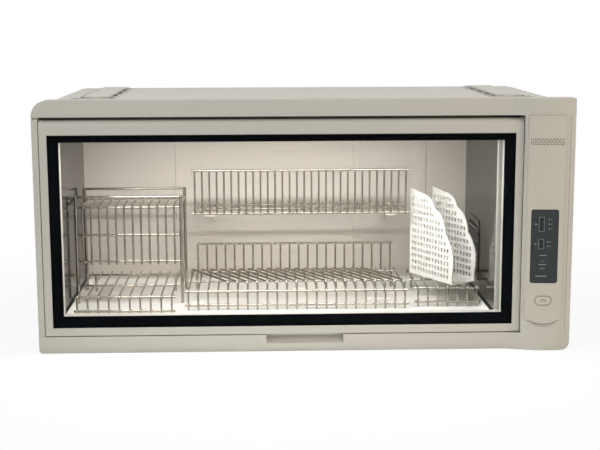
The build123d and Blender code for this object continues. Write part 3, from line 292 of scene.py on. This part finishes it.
def make_finishes(look):
    """One finish for each slot of the record, and one for each kind of print and of painted shade."""
    brushed = (1.0, 1.0, 0.02)
    finishes.update(
        frame_plastic=finish("satin moulding", look.moulding, 0.42, mottle=0.012, grain=1400, relief=0.006,
                             Specular_IOR_Level=0.45),
        fascia_plastic=finish("satin fascia", look.fascia, 0.36, mottle=0.012, grain=1400, relief=0.004,
                              Specular_IOR_Level=0.45),
        display=finish("display window", look.window, 0.16, 0.03, mottle=0.06, patch=30, relief=0.0,
                       Specular_IOR_Level=0.3),
        marks=finish("printed marks", look.marks, 0.5, mottle=0.03, patch=120, relief=0.0),
        lamp_lens=finish("unlit lens", tone(7, 8, 9), 0.3, mottle=0.1, patch=200, relief=0.0,
                         Specular_IOR_Level=0.15),
        # The print finish also carries the painted shade round the button and the painted shadow under the
        # lip.
        print=finish("fascia print", look.print, 0.5, mottle=0.05, patch=160, relief=0.0),
        # Flat black that paints the shade in the seam over the door, the fine holes, the vents' slots and the
        # hoods' mouths.
        screen=finish("black screen", tone(16, 16, 17), 0.85, mottle=0.1, patch=80, relief=0.05),
        inner_plastic=finish("matt black moulding", tone(34, 34, 36), 0.6, mottle=0.06, relief=0.02),
        board=finish("green board", tone(38, 92, 60), 0.45, mottle=0.12, patch=60, relief=0.02),
        casing_paint=finish("powder coat", look.casing, 0.48, 0.05, mottle=0.02, grain=620, relief=0.035,
                            Specular_IOR_Level=0.4),
        vent_plastic=finish("vent moulding", tone(196, 191, 181), 0.5, mottle=0.02, grain=900, relief=0.02),
        zinc_steel=finish("zinc plate", tone(176, 178, 180), 0.34, 0.08, mottle=0.14, patch=60, grain=1500,
                          relief=0.01, Metallic=1.0),
        # The polished sheet's dark colour is partly painted reflection of shade, darker than steel's own.
        liner_steel=finish("polished sheet", look.steel, 0.13, 0.04, mottle=0.03, grain=1500, relief=0.004,
                           stretch=brushed, Metallic=1.0),
        liner_pale=finish("pale enamel", look.enamel, 0.38, mottle=0.02, patch=4, grain=500, relief=0.02),
        tray=finish("glazed tray", look.tray, 0.22, mottle=0.012, patch=4, grain=400, relief=0.01,
                    Coat_Weight=0.3),
        bush_nylon=finish("natural nylon", tone(222, 221, 212), 0.5, mottle=0.03, relief=0.01),
        seal_rubber=finish("pale rubber", tone(196, 194, 186), 0.7, mottle=0.04, patch=40, relief=0.03),
        rack_chrome=finish("bright wire", look.wire, 0.12, 0.05, mottle=0.05, patch=45, grain=700,
                           relief=0.004, Metallic=1.0),
        caddy_plastic=finish("white moulding", look.caddy, 0.34, mottle=0.015, grain=1200, relief=0.006,
                             Subsurface_Weight=0.05, Subsurface_Radius=(0.002, 0.002, 0.0015)),
        mask_black=finish("printed black", look.mask, 0.25, 0.03, mottle=0.2, patch=3, relief=0.0,
                          Specular_IOR_Level=0.0),
        heater_fins=finish("plain aluminium", tone(196, 197, 198), 0.32, 0.06, mottle=0.06, patch=50,
                           grain=1500, relief=0.01, stretch=(1.0, 0.05, 1.0), Metallic=1.0),
        lamp_glass=finish("quartz tube", tone(232, 236, 240), 0.08, 0.03, mottle=0.03, patch=20, relief=0.0,
                          Alpha=0.55),
        door_glass=finish("door glass", look.glass, 0.05, 0.02, mottle=0.02, patch=5, relief=0.0,
                          Alpha=0.06),
    )


# ---- shaping --------------------------------------------------------------------
def merged(node):
    """Copy of a frame node's mesh with its triangles joined and its flat faces whole."""
    bm = bmesh.new()
    bm.from_mesh(nodes[node].data)
    bmesh.ops.remove_doubles(bm, verts=bm.verts, dist=WELD)
    bmesh.ops.dissolve_limit(bm, angle_limit=FLAT, verts=bm.verts, edges=bm.edges)
    return bm


def piece(name, bm, body, slot, replaced=(), material=None, corner=CORNER):
    """Finished piece of a bmesh: smooth up to a corner angle, with its finish, riding on a body."""
    mesh = bpy.data.meshes.new(name)
    bm.to_mesh(mesh)
    bm.free()
    made = bpy.data.objects.new(name, mesh)
    bpy.context.scene.collection.objects.link(made)
    for polygon in mesh.polygons:
        polygon.use_smooth = True
    mesh.set_sharp_from_angle(angle=corner)
    mesh.materials.append(material or finishes[slot])
    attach(made, body)
    if replaced:
        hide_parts(*replaced)
    return made


def round_edges(made, width, segments, corner=CORNER):
    """Rounds off every sharp edge of a piece."""
    bevel = made.modifiers.new("soft edges", "BEVEL")
    bevel.width = width
    bevel.segments = segments
    bevel.limit_method = "ANGLE"
    bevel.angle_limit = corner
    bevel.harden_normals = True
    bevel.use_clamp_overlap = True
    return made


def softened(node, width, segments, bm=None, corner=CORNER, material=None):
    """Piece in a node's place, of the same shape with its edges rounded."""
    made = piece(node + "_soft", bm or merged(node), nodes[node]["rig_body"], slot_of(node), (node,),
                 material, corner)
    return round_edges(made, width, segments, corner)


def slot_of(node):
    """Name of the record's material slot that a node is made in."""
    return nodes[node].material_slots[0].material.name


def facing_front(x, z):
    """Place of a flat shape that faces the front, its middle at x and z."""
    return Matrix.Translation((x, 0.0, z)) @ Matrix.Rotation(radians(90.0), 4, "X")


def strip(bm, x, z, width, height, steps=1):
    """Flat bar facing the front, in steps across so that it can follow a curved face."""
    matrix = facing_front(x, z) @ Matrix.Diagonal((width / 2, height / 2, 1.0, 1.0))
    bmesh.ops.create_grid(bm, x_segments=steps, y_segments=1, size=1.0, matrix=matrix)


def dot(bm, x, z, radius, sides=20):
    """Flat round dot facing the front."""
    bmesh.ops.create_circle(bm, cap_ends=True, radius=radius, segments=sides, matrix=facing_front(x, z))


def bracket(bm, left, right, top, bottom, line):
    """Thin outline of an upright field, facing the front."""
    middle, half = (left + right) / 2, (top + bottom) / 2
    for x in (left, right):
        strip(bm, x, half, line, top - bottom)
    for z in (top, bottom):
        strip(bm, middle, z, right - left + line, line, 4)


def oval_ring(bm, x, z, width, height, line):
    """Flat ring with straight sides and round ends, facing the front."""
    made = bmesh.ops.create_circle(bm, cap_ends=True, radius=height / 2, segments=32,
                                   matrix=facing_front(x, z))
    half = (width - height) / 2
    for v in made["verts"]:
        v.co.x += half if v.co.x > x else -half
    face = made["verts"][0].link_faces[0]
    bmesh.ops.inset_region(bm, faces=[face], thickness=line, use_even_offset=True, use_boundary=True)
    bmesh.ops.delete(bm, geom=[face], context="FACES_ONLY")
    bmesh.ops.subdivide_edges(bm, edges=[e for e in bm.edges if e.calc_length() > half], cuts=6)


def arc(bm, x, z, radius, line, start, end):
    """Flat bow facing the front, from one angle to another."""
    place = facing_front(x, z)
    inner = bm.verts.new(place @ Vector((radius * cos(start), radius * sin(start), 0.0)))
    outer = bm.verts.new(place @ Vector(((radius + line) * cos(start), (radius + line) * sin(start), 0.0)))
    edge = bm.edges.new((inner, outer))
    bmesh.ops.spin(bm, geom=[inner, outer, edge], cent=(x, 0.0, z), axis=(0.0, -1.0, 0.0),
                   angle=end - start, steps=14, use_duplicate=False)


def printed(name, bm, carrier, height, material):
    """Thin print of a flat shape, laid on the front of the node that carries it."""
    front = bmesh.ops.extrude_face_region(bm, geom=bm.faces[:])
    raised = {v for v in front["geom"] if isinstance(v, bmesh.types.BMVert)}
    skin = merged(carrier)
    tree = BVHTree.FromBMesh(skin)
    skin.free()
    for v in bm.verts:
        hit = tree.ray_cast(Vector((v.co.x, -1.0, v.co.z)), Vector((0.0, 1.0, 0.0)))[0]
        if hit is None:
            raise RuntimeError(f"{name} reaches past the front of {carrier}")
        v.co.y = hit.y - (height if v in raised else -height)
    bmesh.ops.recalc_face_normals(bm, faces=bm.faces)
    return piece(name, bm, nodes[carrier]["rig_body"], slot_of(carrier), material=finishes[material])


def press_field(bm, low, high, slope, push):
    """Presses a field into a sheet. low and high give the field by axis, push the way in."""
    for axis in low:
        normal = [float(axis == i) for i in range(3)]
        for level in (low[axis], low[axis] + slope, high[axis] - slope, high[axis]):
            bmesh.ops.bisect_plane(bm, geom=bm.verts[:] + bm.edges[:] + bm.faces[:], dist=1e-6,
                                   plane_co=[level * n for n in normal], plane_no=normal)
    inside = [v for v in bm.verts
              if all(low[a] + slope - NEAR < v.co[a] < high[a] - slope + NEAR for a in low)]
    bmesh.ops.translate(bm, verts=inside, vec=push)


def screw_head(bm, place, radius, height):
    """Low round head with a sunk middle. place seats it and turns its axis out of the sheet."""
    base = bmesh.ops.create_circle(bm, cap_ends=True, radius=radius, segments=24, matrix=place)
    out = place.to_3x3() @ Vector((0.0, 0.0, height))
    top = bmesh.ops.extrude_discrete_faces(bm, faces=[base["verts"][0].link_faces[0]])["faces"][0]
    bmesh.ops.translate(bm, verts=top.verts[:], vec=out)
    bmesh.ops.inset_region(bm, faces=[top], thickness=radius * 0.3, depth=height * 0.25)
    bmesh.ops.inset_region(bm, faces=[top], thickness=radius * 0.22)
    bmesh.ops.inset_region(bm, faces=[top], thickness=radius * 0.06, depth=-height * 0.55)


def spread(first, last, count):
    """Evenly spaced values from first to last."""
    return [first + (last - first) * i / (count - 1) for i in range(count)]


# ---- operators --------------------------------------------------------------------
class CABINET_OT_finishes(bpy.types.Operator):
    """Make the finishes and give every frame node its own"""
    bl_idname = "cabinet.finishes"
    bl_label = "Finishes"

    def execute(self, context):
        make_finishes(context.scene.cabinet_finish)
        for name, part in nodes.items():
            slot = slot_of(name)
            if slot not in finishes:
                raise RuntimeError(f"no finish is made for slot {slot} of {name}")
            part["finish"] = slot
        return {"FINISHED"}


class CABINET_OT_front(bpy.types.Operator):
    """Replace the front mouldings by soft-edged ones"""
    bl_idname = "cabinet.front"
    bl_label = "Front mouldings"

    def execute(self, context):
        edges = context.scene.cabinet_edges
        for node, width in (("front_bezel", edges.crest), ("door_frame", edges.crest * 0.6)):
            softened(node, edges.moulding, edges.segments, crested(node, width))
        for node in ("left_trim", "bottom_rail", "control_housing"):
            softened(node, edges.moulding, edges.segments)
        paint_seam_shade()
        for node in ("glass_retainer", "hinge_block"):
            softened(node, edges.fine, edges.segments)
        return {"FINISHED"}


def crested(node, width):
    """Shape of a node with a wide rounding along its upper front edge."""
    bm = merged(node)
    low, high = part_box(node)
    crest = [e for e in bm.edges if e.is_manifold and e.calc_face_angle() > CORNER
             and all(v.co.z > high.z - CREST_BAND * MM and v.co.y < high.y - CREST_DEPTH * MM
                     for v in e.verts)
             and abs(e.verts[0].co.x - e.verts[1].co.x) > 1e-4]
    if not crest:
        raise RuntimeError(f"{node} has no sharp upper front edge")
    bmesh.ops.bevel(bm, geom=crest, offset=width, offset_type="OFFSET", segments=4, profile=0.5,
                    affect="EDGES", material=-1, clamp_overlap=True)
    return bm


def paint_seam_shade():
    """Black strip on the door's top, which paints the shade of the seam under the bezel."""
    low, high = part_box("door_frame")
    depth, height = SEAM_SHADE_SIZE
    black_strip = bmesh.new()
    size = Matrix.Diagonal((high.x - low.x - SEAM_SHADE_ENDS * MM, depth * MM, height * MM, 1.0))
    place = Matrix.Translation(((low.x + high.x) / 2, low.y + SEAM_SHADE_SETBACK * MM, high.z + SEAM_SHADE_SEAT * MM))
    bmesh.ops.create_cube(black_strip, size=1.0, matrix=place @ size)
    bmesh.ops.subdivide_edges(black_strip, edges=[e for e in black_strip.edges if e.calc_length() > 0.1], cuts=12)
    # Painted shade in the seam over the door.
    round_edges(piece("seam_foam", black_strip, "door", "seal_rubber", material=finishes["screen"]), 0.12 * MM, 2)


class CABINET_OT_controls(bpy.types.Operator):
    """Soften the control strip, print its signs and paint the shade of its holes, its button's gap and its
    lip
    """
    bl_idname = "cabinet.controls"
    bl_label = "Controls"

    def execute(self, context):
        edges = context.scene.cabinet_edges
        for node in ("control_fascia", "display_window"):
            softened(node, edges.fine, edges.segments)
        softened("power_button", edges.fine * 1.6, edges.segments)
        print_display(edges.print_height)
        print_button(edges.print_height)
        shade_behind_holes(edges.print_height)
        lip_line(edges.print_height)
        return {"FINISHED"}


def print_display(height):
    """Lenses, dots, brackets and bars on the display window."""
    low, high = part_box("display_window")
    left, top = low.x, high.z
    signs = bmesh.new()
    lenses = bmesh.new()
    for first, count, x in LENS_GROUPS:
        for z in (top - (first + LENS_PITCH * i) * MM for i in range(count)):
            dot(signs, left + x * MM, z, DOT_RADIUS * MM)
            strip(signs, left + (x + DASH_OFFSET) * MM, z, DASH_SIZE[0] * MM, DASH_SIZE[1] * MM)
            dot(lenses, left + LENS_X * MM, z, LENS_RADIUS * MM)
    printed("display_lenses", lenses, "display_window", height, "lamp_lens")
    sides = [left + x * MM for x in FIELD_SIDES]
    for first, last in FIELDS:
        bracket(signs, *sides, top - first * MM, top - last * MM, FIELD_LINE * MM)
        middle = top - (first + last) / 2 * MM
        strip(signs, left + TICK_X * MM, middle, TICK_LENGTH * MM, FIELD_LINE * MM)
        dot(signs, left + TICK_DOT_X * MM, middle, TICK_DOT * MM)
    for drop, start, end, tall in BARS:
        strip(signs, left + (start + end) / 2 * MM, top - drop * MM, (end - start) * MM, tall * MM, 8)
    x, drop, radius, line = DISPLAY_BOW
    arc(signs, left + x * MM, top - drop * MM, radius * MM, line * MM, radians(25.0), radians(155.0))
    printed("display_signs", signs, "display_window", height, "marks")


def print_button(height):
    """Bow on the button, and a fine dark oval line round it, which paints the shade of the gap round the
    button.
    """
    low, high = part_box("power_button")
    x, z = (low.x + high.x) / 2, (low.z + high.z) / 2
    sign = bmesh.new()
    for radius, line in BOWS:
        arc(sign, x, z - BOW_DROP * MM, radius * MM, line * MM, 0.0, pi)
    printed("button_sign", sign, "power_button", height, "print")
    ring = bmesh.new()
    room = 2 * BUTTON_ROOM * MM
    oval_ring(ring, x, z, high.x - low.x + room, high.z - low.z + room, BUTTON_SHADE_LINE * MM)
    # Painted shade of the gap round the button.
    printed("button_line", ring, "control_fascia", height, "print")


def shade_behind_holes(height):
    """Black sheet at the bottom of the fine holes high on the fascia, which paints their shade, and a rim on
    every other hole.
    """
    low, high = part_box("control_fascia")
    middle, top = (low.x + high.x) / 2, high.z - HOLES_DROP * MM
    reach = HOLE_PITCH * (HOLE_COLUMNS - 1) / 2 * MM
    screen = bmesh.new()
    width, tall = HOLE_SHADE_SHEET
    strip(screen, middle, top - HOLE_PITCH * (HOLE_ROWS - 1) / 2 * MM, width * MM, tall * MM, 16)
    # Painted shade at the bottom of the holes.
    printed("hole_screen", screen, "control_housing", height * 2, "screen")
    rims = bmesh.new()
    for row in range(HOLE_ROWS):
        for x in spread(middle - reach, middle + reach, HOLE_COLUMNS)[row % 2::2]:
            dot(rims, x, top - row * HOLE_PITCH * MM, HOLE_RIM * MM, 12)
    printed("hole_rims", rims, "control_fascia", height * 0.4, "print")


def lip_line(height):
    """Painted shadow under the bowed lower lip of the fascia: a fine dark line, and two rows of dots under
    it.
    """
    low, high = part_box("control_fascia")
    middle = (low.x + high.x) / 2
    half, sag = (high.x - low.x) / 2, LIP_SAG * MM
    radius = (half ** 2 + sag ** 2) / (2 * sag)
    reach = LIP_SHARE * half / radius
    line = bmesh.new()
    arc(line, middle, low.z + radius - LIP_DROP * MM, radius, LIP_SHADOW_LINE * MM,
        1.5 * pi - reach, 1.5 * pi + reach)
    for drop, share, count in LIP_SHADE_DOT_ROWS:
        below = radius + drop * MM
        for turn in spread(-share * reach, share * reach, count):
            dot(line, middle + below * sin(turn), low.z + radius - below * cos(turn), LIP_SHADE_DOT_SIZE * MM, 10)
    # Painted shadow under the lip.
    printed("lip_line", line, "control_housing", height, "print")


class CABINET_OT_casing(bpy.types.Operator):
    """Press the fields into the casing's sheets, soften them and add the screws and air hoods"""
    bl_idname = "cabinet.casing"
    bl_label = "Casing"

    def execute(self, context):
        edges = context.scene.cabinet_edges
        detail = context.scene.cabinet_detail
        for node in ("vent_grille_left", "vent_grille_right", "front_flange"):
            softened(node, edges.fine, edges.segments)
        softened("top_cover", edges.sheet, edges.segments)
        for node in ("hanger_plate_left", "hanger_plate_right", "cord_gland", "casing_screws"):
            softened(node, edges.sheet, edges.segments)
        room = detail.field_margin
        press_side("side_panel_left", detail.field_depth, room, room, detail, edges)
        press_side("side_panel_right", -detail.field_depth, RIGHT_FRONT * MM, RIGHT_FOOT * MM, detail, edges)
        press_back(detail, edges)
        press_base(detail, edges)
        vent_slot_shades()
        side_screws(detail)
        air_hoods(detail, edges)
        return {"FINISHED"}


def press_side(node, push, front, foot, detail, edges):
    """Field pressed into a side. front and foot are the flat sheet that stays there."""
    low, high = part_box(node)
    room = detail.field_margin
    bm = merged(node)
    press_field(bm, {1: low.y + front, 2: low.z + foot}, {1: high.y - room - REAR_ROOM * MM,
                2: high.z - room}, detail.field_slope, (push, 0.0, 0.0))
    softened(node, edges.sheet, edges.segments, bm)


def press_back(detail, edges):
    """Field pressed into the back, clear of the hanging holes."""
    low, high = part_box("back_panel")
    side, foot, top = (detail.field_margin * share for share in BACK_ROOM)
    bm = merged("back_panel")
    press_field(bm, {0: low.x + side, 2: low.z + foot}, {0: high.x - side, 2: high.z - top},
                detail.field_slope, (0.0, -detail.field_depth, 0.0))
    softened("back_panel", edges.sheet, edges.segments, bm)


def press_base(detail, edges):
    """Field pressed into the base, left of the machine space."""
    low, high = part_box("base_pan")
    room = detail.field_margin
    bm = merged("base_pan")
    press_field(bm, {0: low.x + room * BASE_ROOM, 1: low.y + room},
                {0: high.x - BASE_RIGHT * MM, 1: high.y - room * BASE_ROOM},
                detail.field_slope, (0.0, 0.0, detail.field_depth))
    softened("base_pan", edges.sheet, edges.segments, bm)


def vent_slot_shades():
    """Black sheet in the slot round each vent's cap, level with the cover, which paints the slot's shade."""
    for side in ("left", "right"):
        low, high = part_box("vent_grille_" + side)
        bm = bmesh.new()
        middle, half = (low + high) / 2, (high - low) / 2
        matrix = Matrix.Translation((middle.x, middle.y, low.z + VENT_LEVEL * MM))
        size = Matrix.Diagonal((half.x - VENT_INSET * MM, half.y - VENT_INSET * MM, 1.0, 1.0))
        bmesh.ops.create_grid(bm, x_segments=2, y_segments=6, size=1.0, matrix=matrix @ size)
        bmesh.ops.inset_individual(bm, faces=bm.faces[:], thickness=VENT_CELL[0] * MM,
                                   depth=VENT_CELL[1] * MM)
        bmesh.ops.solidify(bm, geom=bm.faces[:], thickness=VENT_SHEET * MM)
        # Painted shade, seen through the vent's slot.
        piece("vent_screen_" + side, bm, "cabinet", "inner_plastic", material=finishes["screen"])


def side_screws(detail):
    """Row of screws along the rear edge of each side."""
    bm = bmesh.new()
    for node, turn, face in (("side_panel_left", -90.0, 0), ("side_panel_right", 90.0, 1)):
        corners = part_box(node)
        low, high = corners
        for z in spread(low.z + SCREW_FOOT * MM, high.z - SCREW_TOP * MM, SCREWS):
            place = Matrix.Translation((corners[face].x, high.y - SCREW_REAR * MM, z))
            screw_head(bm, place @ Matrix.Rotation(radians(turn), 4, "Y"), detail.screw, SCREW_HEIGHT * MM)
    bmesh.ops.recalc_face_normals(bm, faces=bm.faces)
    round_edges(piece("side_screws", bm, "cabinet", "zinc_steel"), 0.25 * MM, 2)


def air_hoods(detail, edges):
    """Pressed hoods over the fan's air inlet, low on the right side, each with a black slab under it, which
    paints the shade of its mouth.
    """
    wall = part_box("side_panel_right")[1].x
    low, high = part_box("fan_frame")
    middle = (low + high) / 2
    hoods, shade_slabs = bmesh.new(), bmesh.new()
    first = middle.z - detail.hood_pitch * (detail.hoods - 1) / 2
    for i in range(detail.hoods):
        z = first + detail.hood_pitch * i
        hood = slab(hoods, wall + HOOD_OUT * MM, middle.y, z, HOOD_SIZE, detail.hood_length)
        upper = [v for v in hood["verts"] if v.co.x > wall and v.co.z > z]
        bmesh.ops.translate(hoods, verts=upper, vec=[shift * MM for shift in HOOD_SLOPE])
        slab(shade_slabs, wall + MOUTH_SHADE_OUT * MM, middle.y, z - MOUTH_SHADE_DROP * MM, MOUTH_SHADE_SIZE,
             detail.hood_length - MOUTH_SHADE_ENDS * MM)
    round_edges(piece("air_hoods", hoods, "cabinet", "casing_paint"), 0.9 * MM, edges.segments)
    # Painted shade of the hoods' mouths.
    round_edges(piece("air_mouths", shade_slabs, "cabinet", "inner_plastic", material=finishes["screen"]),
                0.2 * MM, 1)


def slab(bm, x, y, z, size, length):
    """Bar along a side wall. size is its thickness and height in millimetres."""
    shape = Matrix.Diagonal((size[0] * MM, length, size[1] * MM, 1.0))
    return bmesh.ops.create_cube(bm, size=1.0, matrix=Matrix.Translation((x, y, z)) @ shape)


class CABINET_OT_cavity(bpy.types.Operator):
    """Soften the cavity's parts and press the ribs into its back wall"""
    bl_idname = "cabinet.cavity"
    bl_label = "Cavity"

    def execute(self, context):
        edges = context.scene.cabinet_edges
        detail = context.scene.cabinet_detail
        for node, material in (("drip_tray", "tray"), ("shelf_brackets", "liner_pale"),
                               ("lamp_holders", "inner_plastic"), ("air_grille", "liner_steel")):
            softened(node, edges.sheet, edges.segments, material=finishes[material])
        low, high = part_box("liner_back")
        ribs = bmesh.new()
        tall = high.z - low.z - RIB_ENDS * MM
        for x, width in BACK_RIBS:
            size = Matrix.Diagonal((detail.rib_width * width, detail.rib_height * 2, tall, 1.0))
            place = Matrix.Translation((x * MM, low.y, (low.z + high.z) / 2))
            bmesh.ops.create_cube(ribs, size=1.0, matrix=place @ size)
        made = piece("back_ribs", ribs, "cabinet", "liner_pale")
        round_edges(made, detail.rib_height * 0.95, 4)
        return {"FINISHED"}


class CABINET_OT_racks(bpy.types.Operator):
    """Round the ends of the wires and weld them where they cross"""
    bl_idname = "cabinet.racks"
    bl_label = "Racks"

    def execute(self, context):
        edges = context.scene.cabinet_edges
        detail = context.scene.cabinet_detail
        for node in ("cup_rack", "bowl_tier", "plate_rack", "upper_plate_rack", "utensil_rack"):
            softened(node, edges.fine, 2, corner=WIRE_CORNER)
        for rack, wires in DECK_WIRES.items():
            weld_deck(rack, wires, detail.weld)
        softened("utensil_caddy", edges.fine, edges.segments)
        return {"FINISHED"}


def weld_deck(rack, wires, radius):
    """Small lumps where a deck's wires are welded to its cross rails."""
    low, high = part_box(rack)
    under = high.z - (FENCE_HEIGHT.get(rack, 0.0) + RAIL_DROP) * MM
    bm = bmesh.new()
    for x in spread(low.x + RAIL_SIDES * MM, high.x - RAIL_SIDES * MM, wires):
        for y in spread(low.y + RAIL_FRONT * MM, high.y - RAIL_REAR * MM, RAILS):
            place = Matrix.Translation((x, y, under))
            bmesh.ops.create_icosphere(bm, subdivisions=2, radius=radius, matrix=place)
    piece(rack + "_welds", bm, nodes[rack]["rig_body"], slot_of(rack))


class CABINET_OT_paint(bpy.types.Operator):
    """Give every shown frame node its finish"""
    bl_idname = "cabinet.paint"
    bl_label = "Paint"

    def execute(self, context):
        for name, part in nodes.items():
            for place in part.material_slots:
                place.material = finishes[part["finish"]]
        return {"FINISHED"}


class CABINET_OT_stage(bpy.types.Operator):
    """Set the camera, the lamps, the sky and the floor"""
    bl_idname = "cabinet.stage"
    bl_label = "Stage"

    def execute(self, context):
        stage = context.scene.cabinet_stage
        set_camera(context, stage)
        for name, place, size, colour in LAMPS:
            area_lamp(context, name, place, AIM, size, getattr(stage, name + "_power"), colour)
        inner = area_lamp(context, "inner", STRIP_PLACE, STRIP_AIM, STRIP_SIZE[0], stage.inner_power,
                          STRIP_COLOUR)
        inner.shape, inner.size_y = "RECTANGLE", STRIP_SIZE[1]
        set_sky(context, stage.sky)
        set_floor(context)
        context.scene.view_settings.view_transform = "Standard"
        return {"FINISHED"}


def set_camera(context, stage):
    """Camera without shift, turned by its pitch, yaw and roll."""
    pitch, yaw, roll = stage.camera_pitch, stage.camera_yaw, stage.camera_roll
    ahead = Vector((sin(yaw) * cos(pitch), cos(yaw) * cos(pitch), -sin(pitch)))
    right = Vector((cos(yaw), -sin(yaw), 0.0))
    up = right.cross(ahead)
    right, up = right * cos(roll) + up * sin(roll), up * cos(roll) - right * sin(roll)
    lens = bpy.data.cameras.new("camera")
    lens.lens = stage.lens
    lens.sensor_width = 36.0
    camera = bpy.data.objects.new("camera", lens)
    turn = Matrix((right, up, -ahead)).transposed().to_4x4()
    camera.matrix_world = Matrix.Translation(stage.camera_place) @ turn
    context.scene.collection.objects.link(camera)
    context.scene.camera = camera


def area_lamp(context, name, place, aim, size, power, colour):
    """Square lamp turned to what it lights."""
    light = bpy.data.lights.new(name, "AREA")
    light.size = size
    light.energy = power
    light.color = colour
    lamp = bpy.data.objects.new(name, light)
    lamp.location = place
    lamp.rotation_euler = (aim - Vector(place)).to_track_quat("-Z", "Y").to_euler()
    context.scene.collection.objects.link(lamp)
    return light


def seen_directly(tree):
    """1 for rays from the camera, from gloss or through glass, else 0."""
    path = add(tree, "ShaderNodeLightPath").outputs
    first = add(tree, "ShaderNodeMath", {0: path["Is Camera Ray"], 1: path["Is Glossy Ray"]},
                operation="MAXIMUM")
    both = add(tree, "ShaderNodeMath", {0: first.outputs[0], 1: path["Is Transmission Ray"]},
               operation="MAXIMUM")
    return both.outputs[0]


def set_sky(context, strength):
    """Even light all round, which looks white where it is seen."""
    sky = bpy.data.worlds.new("sky")
    sky.use_nodes = True
    tree = sky.node_tree
    level = add(tree, "ShaderNodeMapRange", {"Value": seen_directly(tree), "To Min": strength,
                                             "To Max": 1.0})
    background = tree.nodes["Background"]
    background.inputs["Color"].default_value = (1.0, 1.0, 1.0, 1.0)
    tree.links.new(level.outputs["Result"], background.inputs["Strength"])
    context.scene.world = sky


def set_floor(context):
    """Matt floor that takes the shadow and fades to white away from the cabinet."""
    bm = bmesh.new()
    bmesh.ops.create_circle(bm, cap_ends=True, radius=FLOOR_RADIUS, segments=64)
    mesh = bpy.data.meshes.new("floor")
    bm.to_mesh(mesh)
    bm.free()
    floor = bpy.data.objects.new("floor", mesh)
    context.scene.collection.objects.link(floor)
    material = bpy.data.materials.new("white floor")
    material.use_nodes = True
    tree = material.node_tree
    tree.nodes.remove(tree.nodes["Principled BSDF"])
    place = add(tree, "ShaderNodeTexCoord").outputs["Object"]
    away = add(tree, "ShaderNodeVectorMath", {0: place}, operation="LENGTH").outputs["Value"]
    pale = add(tree, "ShaderNodeMapRange", {"Value": away, "From Min": FLOOR_NEAR, "From Max": FLOOR_FAR,
                                            "To Min": FLOOR_SHADE, "To Max": 1.0},
               interpolation_type="SMOOTHSTEP")
    amount = add(tree, "ShaderNodeMath", {0: pale.outputs["Result"], 1: seen_directly(tree)},
                 operation="MULTIPLY")
    matt = add(tree, "ShaderNodeBsdfDiffuse", {"Color": (0.9, 0.9, 0.9, 1.0)})
    bright = add(tree, "ShaderNodeEmission", {"Color": (1.0, 1.0, 1.0, 1.0), "Strength": 1.0})
    mix = add(tree, "ShaderNodeMixShader", {0: amount.outputs[0], 1: matt.outputs[0], 2: bright.outputs[0]})
    tree.links.new(mix.outputs[0], tree.nodes["Material Output"].inputs["Surface"])
    mesh.materials.append(material)


class CABINET_PT_panel(bpy.types.Panel):
    """Sidebar list of the cabinet's steps and settings"""
    bl_label = "Dish Sterilizer Cabinet"
    bl_idname = "CABINET_PT_panel"
    bl_space_type = "VIEW_3D"
    bl_region_type = "UI"
    bl_category = "Cabinet"

    def draw(self, context):
        for step in STEPS:
            self.layout.operator(step.bl_idname)
        for holder in GROUPS:
            group = getattr(context.scene, holder)
            box = self.layout.box()
            for name in group.bl_rna.properties.keys():
                if name not in ("rna_type", "name"):
                    box.prop(group, name)


GROUPS = {"cabinet_finish": CabinetFinish, "cabinet_edges": CabinetEdges, "cabinet_detail": CabinetDetail,
          "cabinet_stage": CabinetStage}
STEPS = (CABINET_OT_finishes, CABINET_OT_front, CABINET_OT_controls, CABINET_OT_casing, CABINET_OT_cavity,
         CABINET_OT_racks, CABINET_OT_paint, CABINET_OT_stage)


def register():
    for group in (*GROUPS.values(), *STEPS, CABINET_PT_panel):
        bpy.utils.register_class(group)
    for name, group in GROUPS.items():
        setattr(bpy.types.Scene, name, PointerProperty(type=group))


def unregister():
    for name in GROUPS:
        delattr(bpy.types.Scene, name)
    for group in (CABINET_PT_panel, *reversed(STEPS), *GROUPS.values()):
        bpy.utils.unregister_class(group)


def main():
    register()
    bpy.ops.cabinet.finishes()
    bpy.ops.cabinet.front()
    bpy.ops.cabinet.controls()
    bpy.ops.cabinet.casing()
    bpy.ops.cabinet.cavity()
    bpy.ops.cabinet.racks()
    bpy.ops.cabinet.paint()
    bpy.ops.cabinet.stage()


if __name__ == "__main__":
    main()
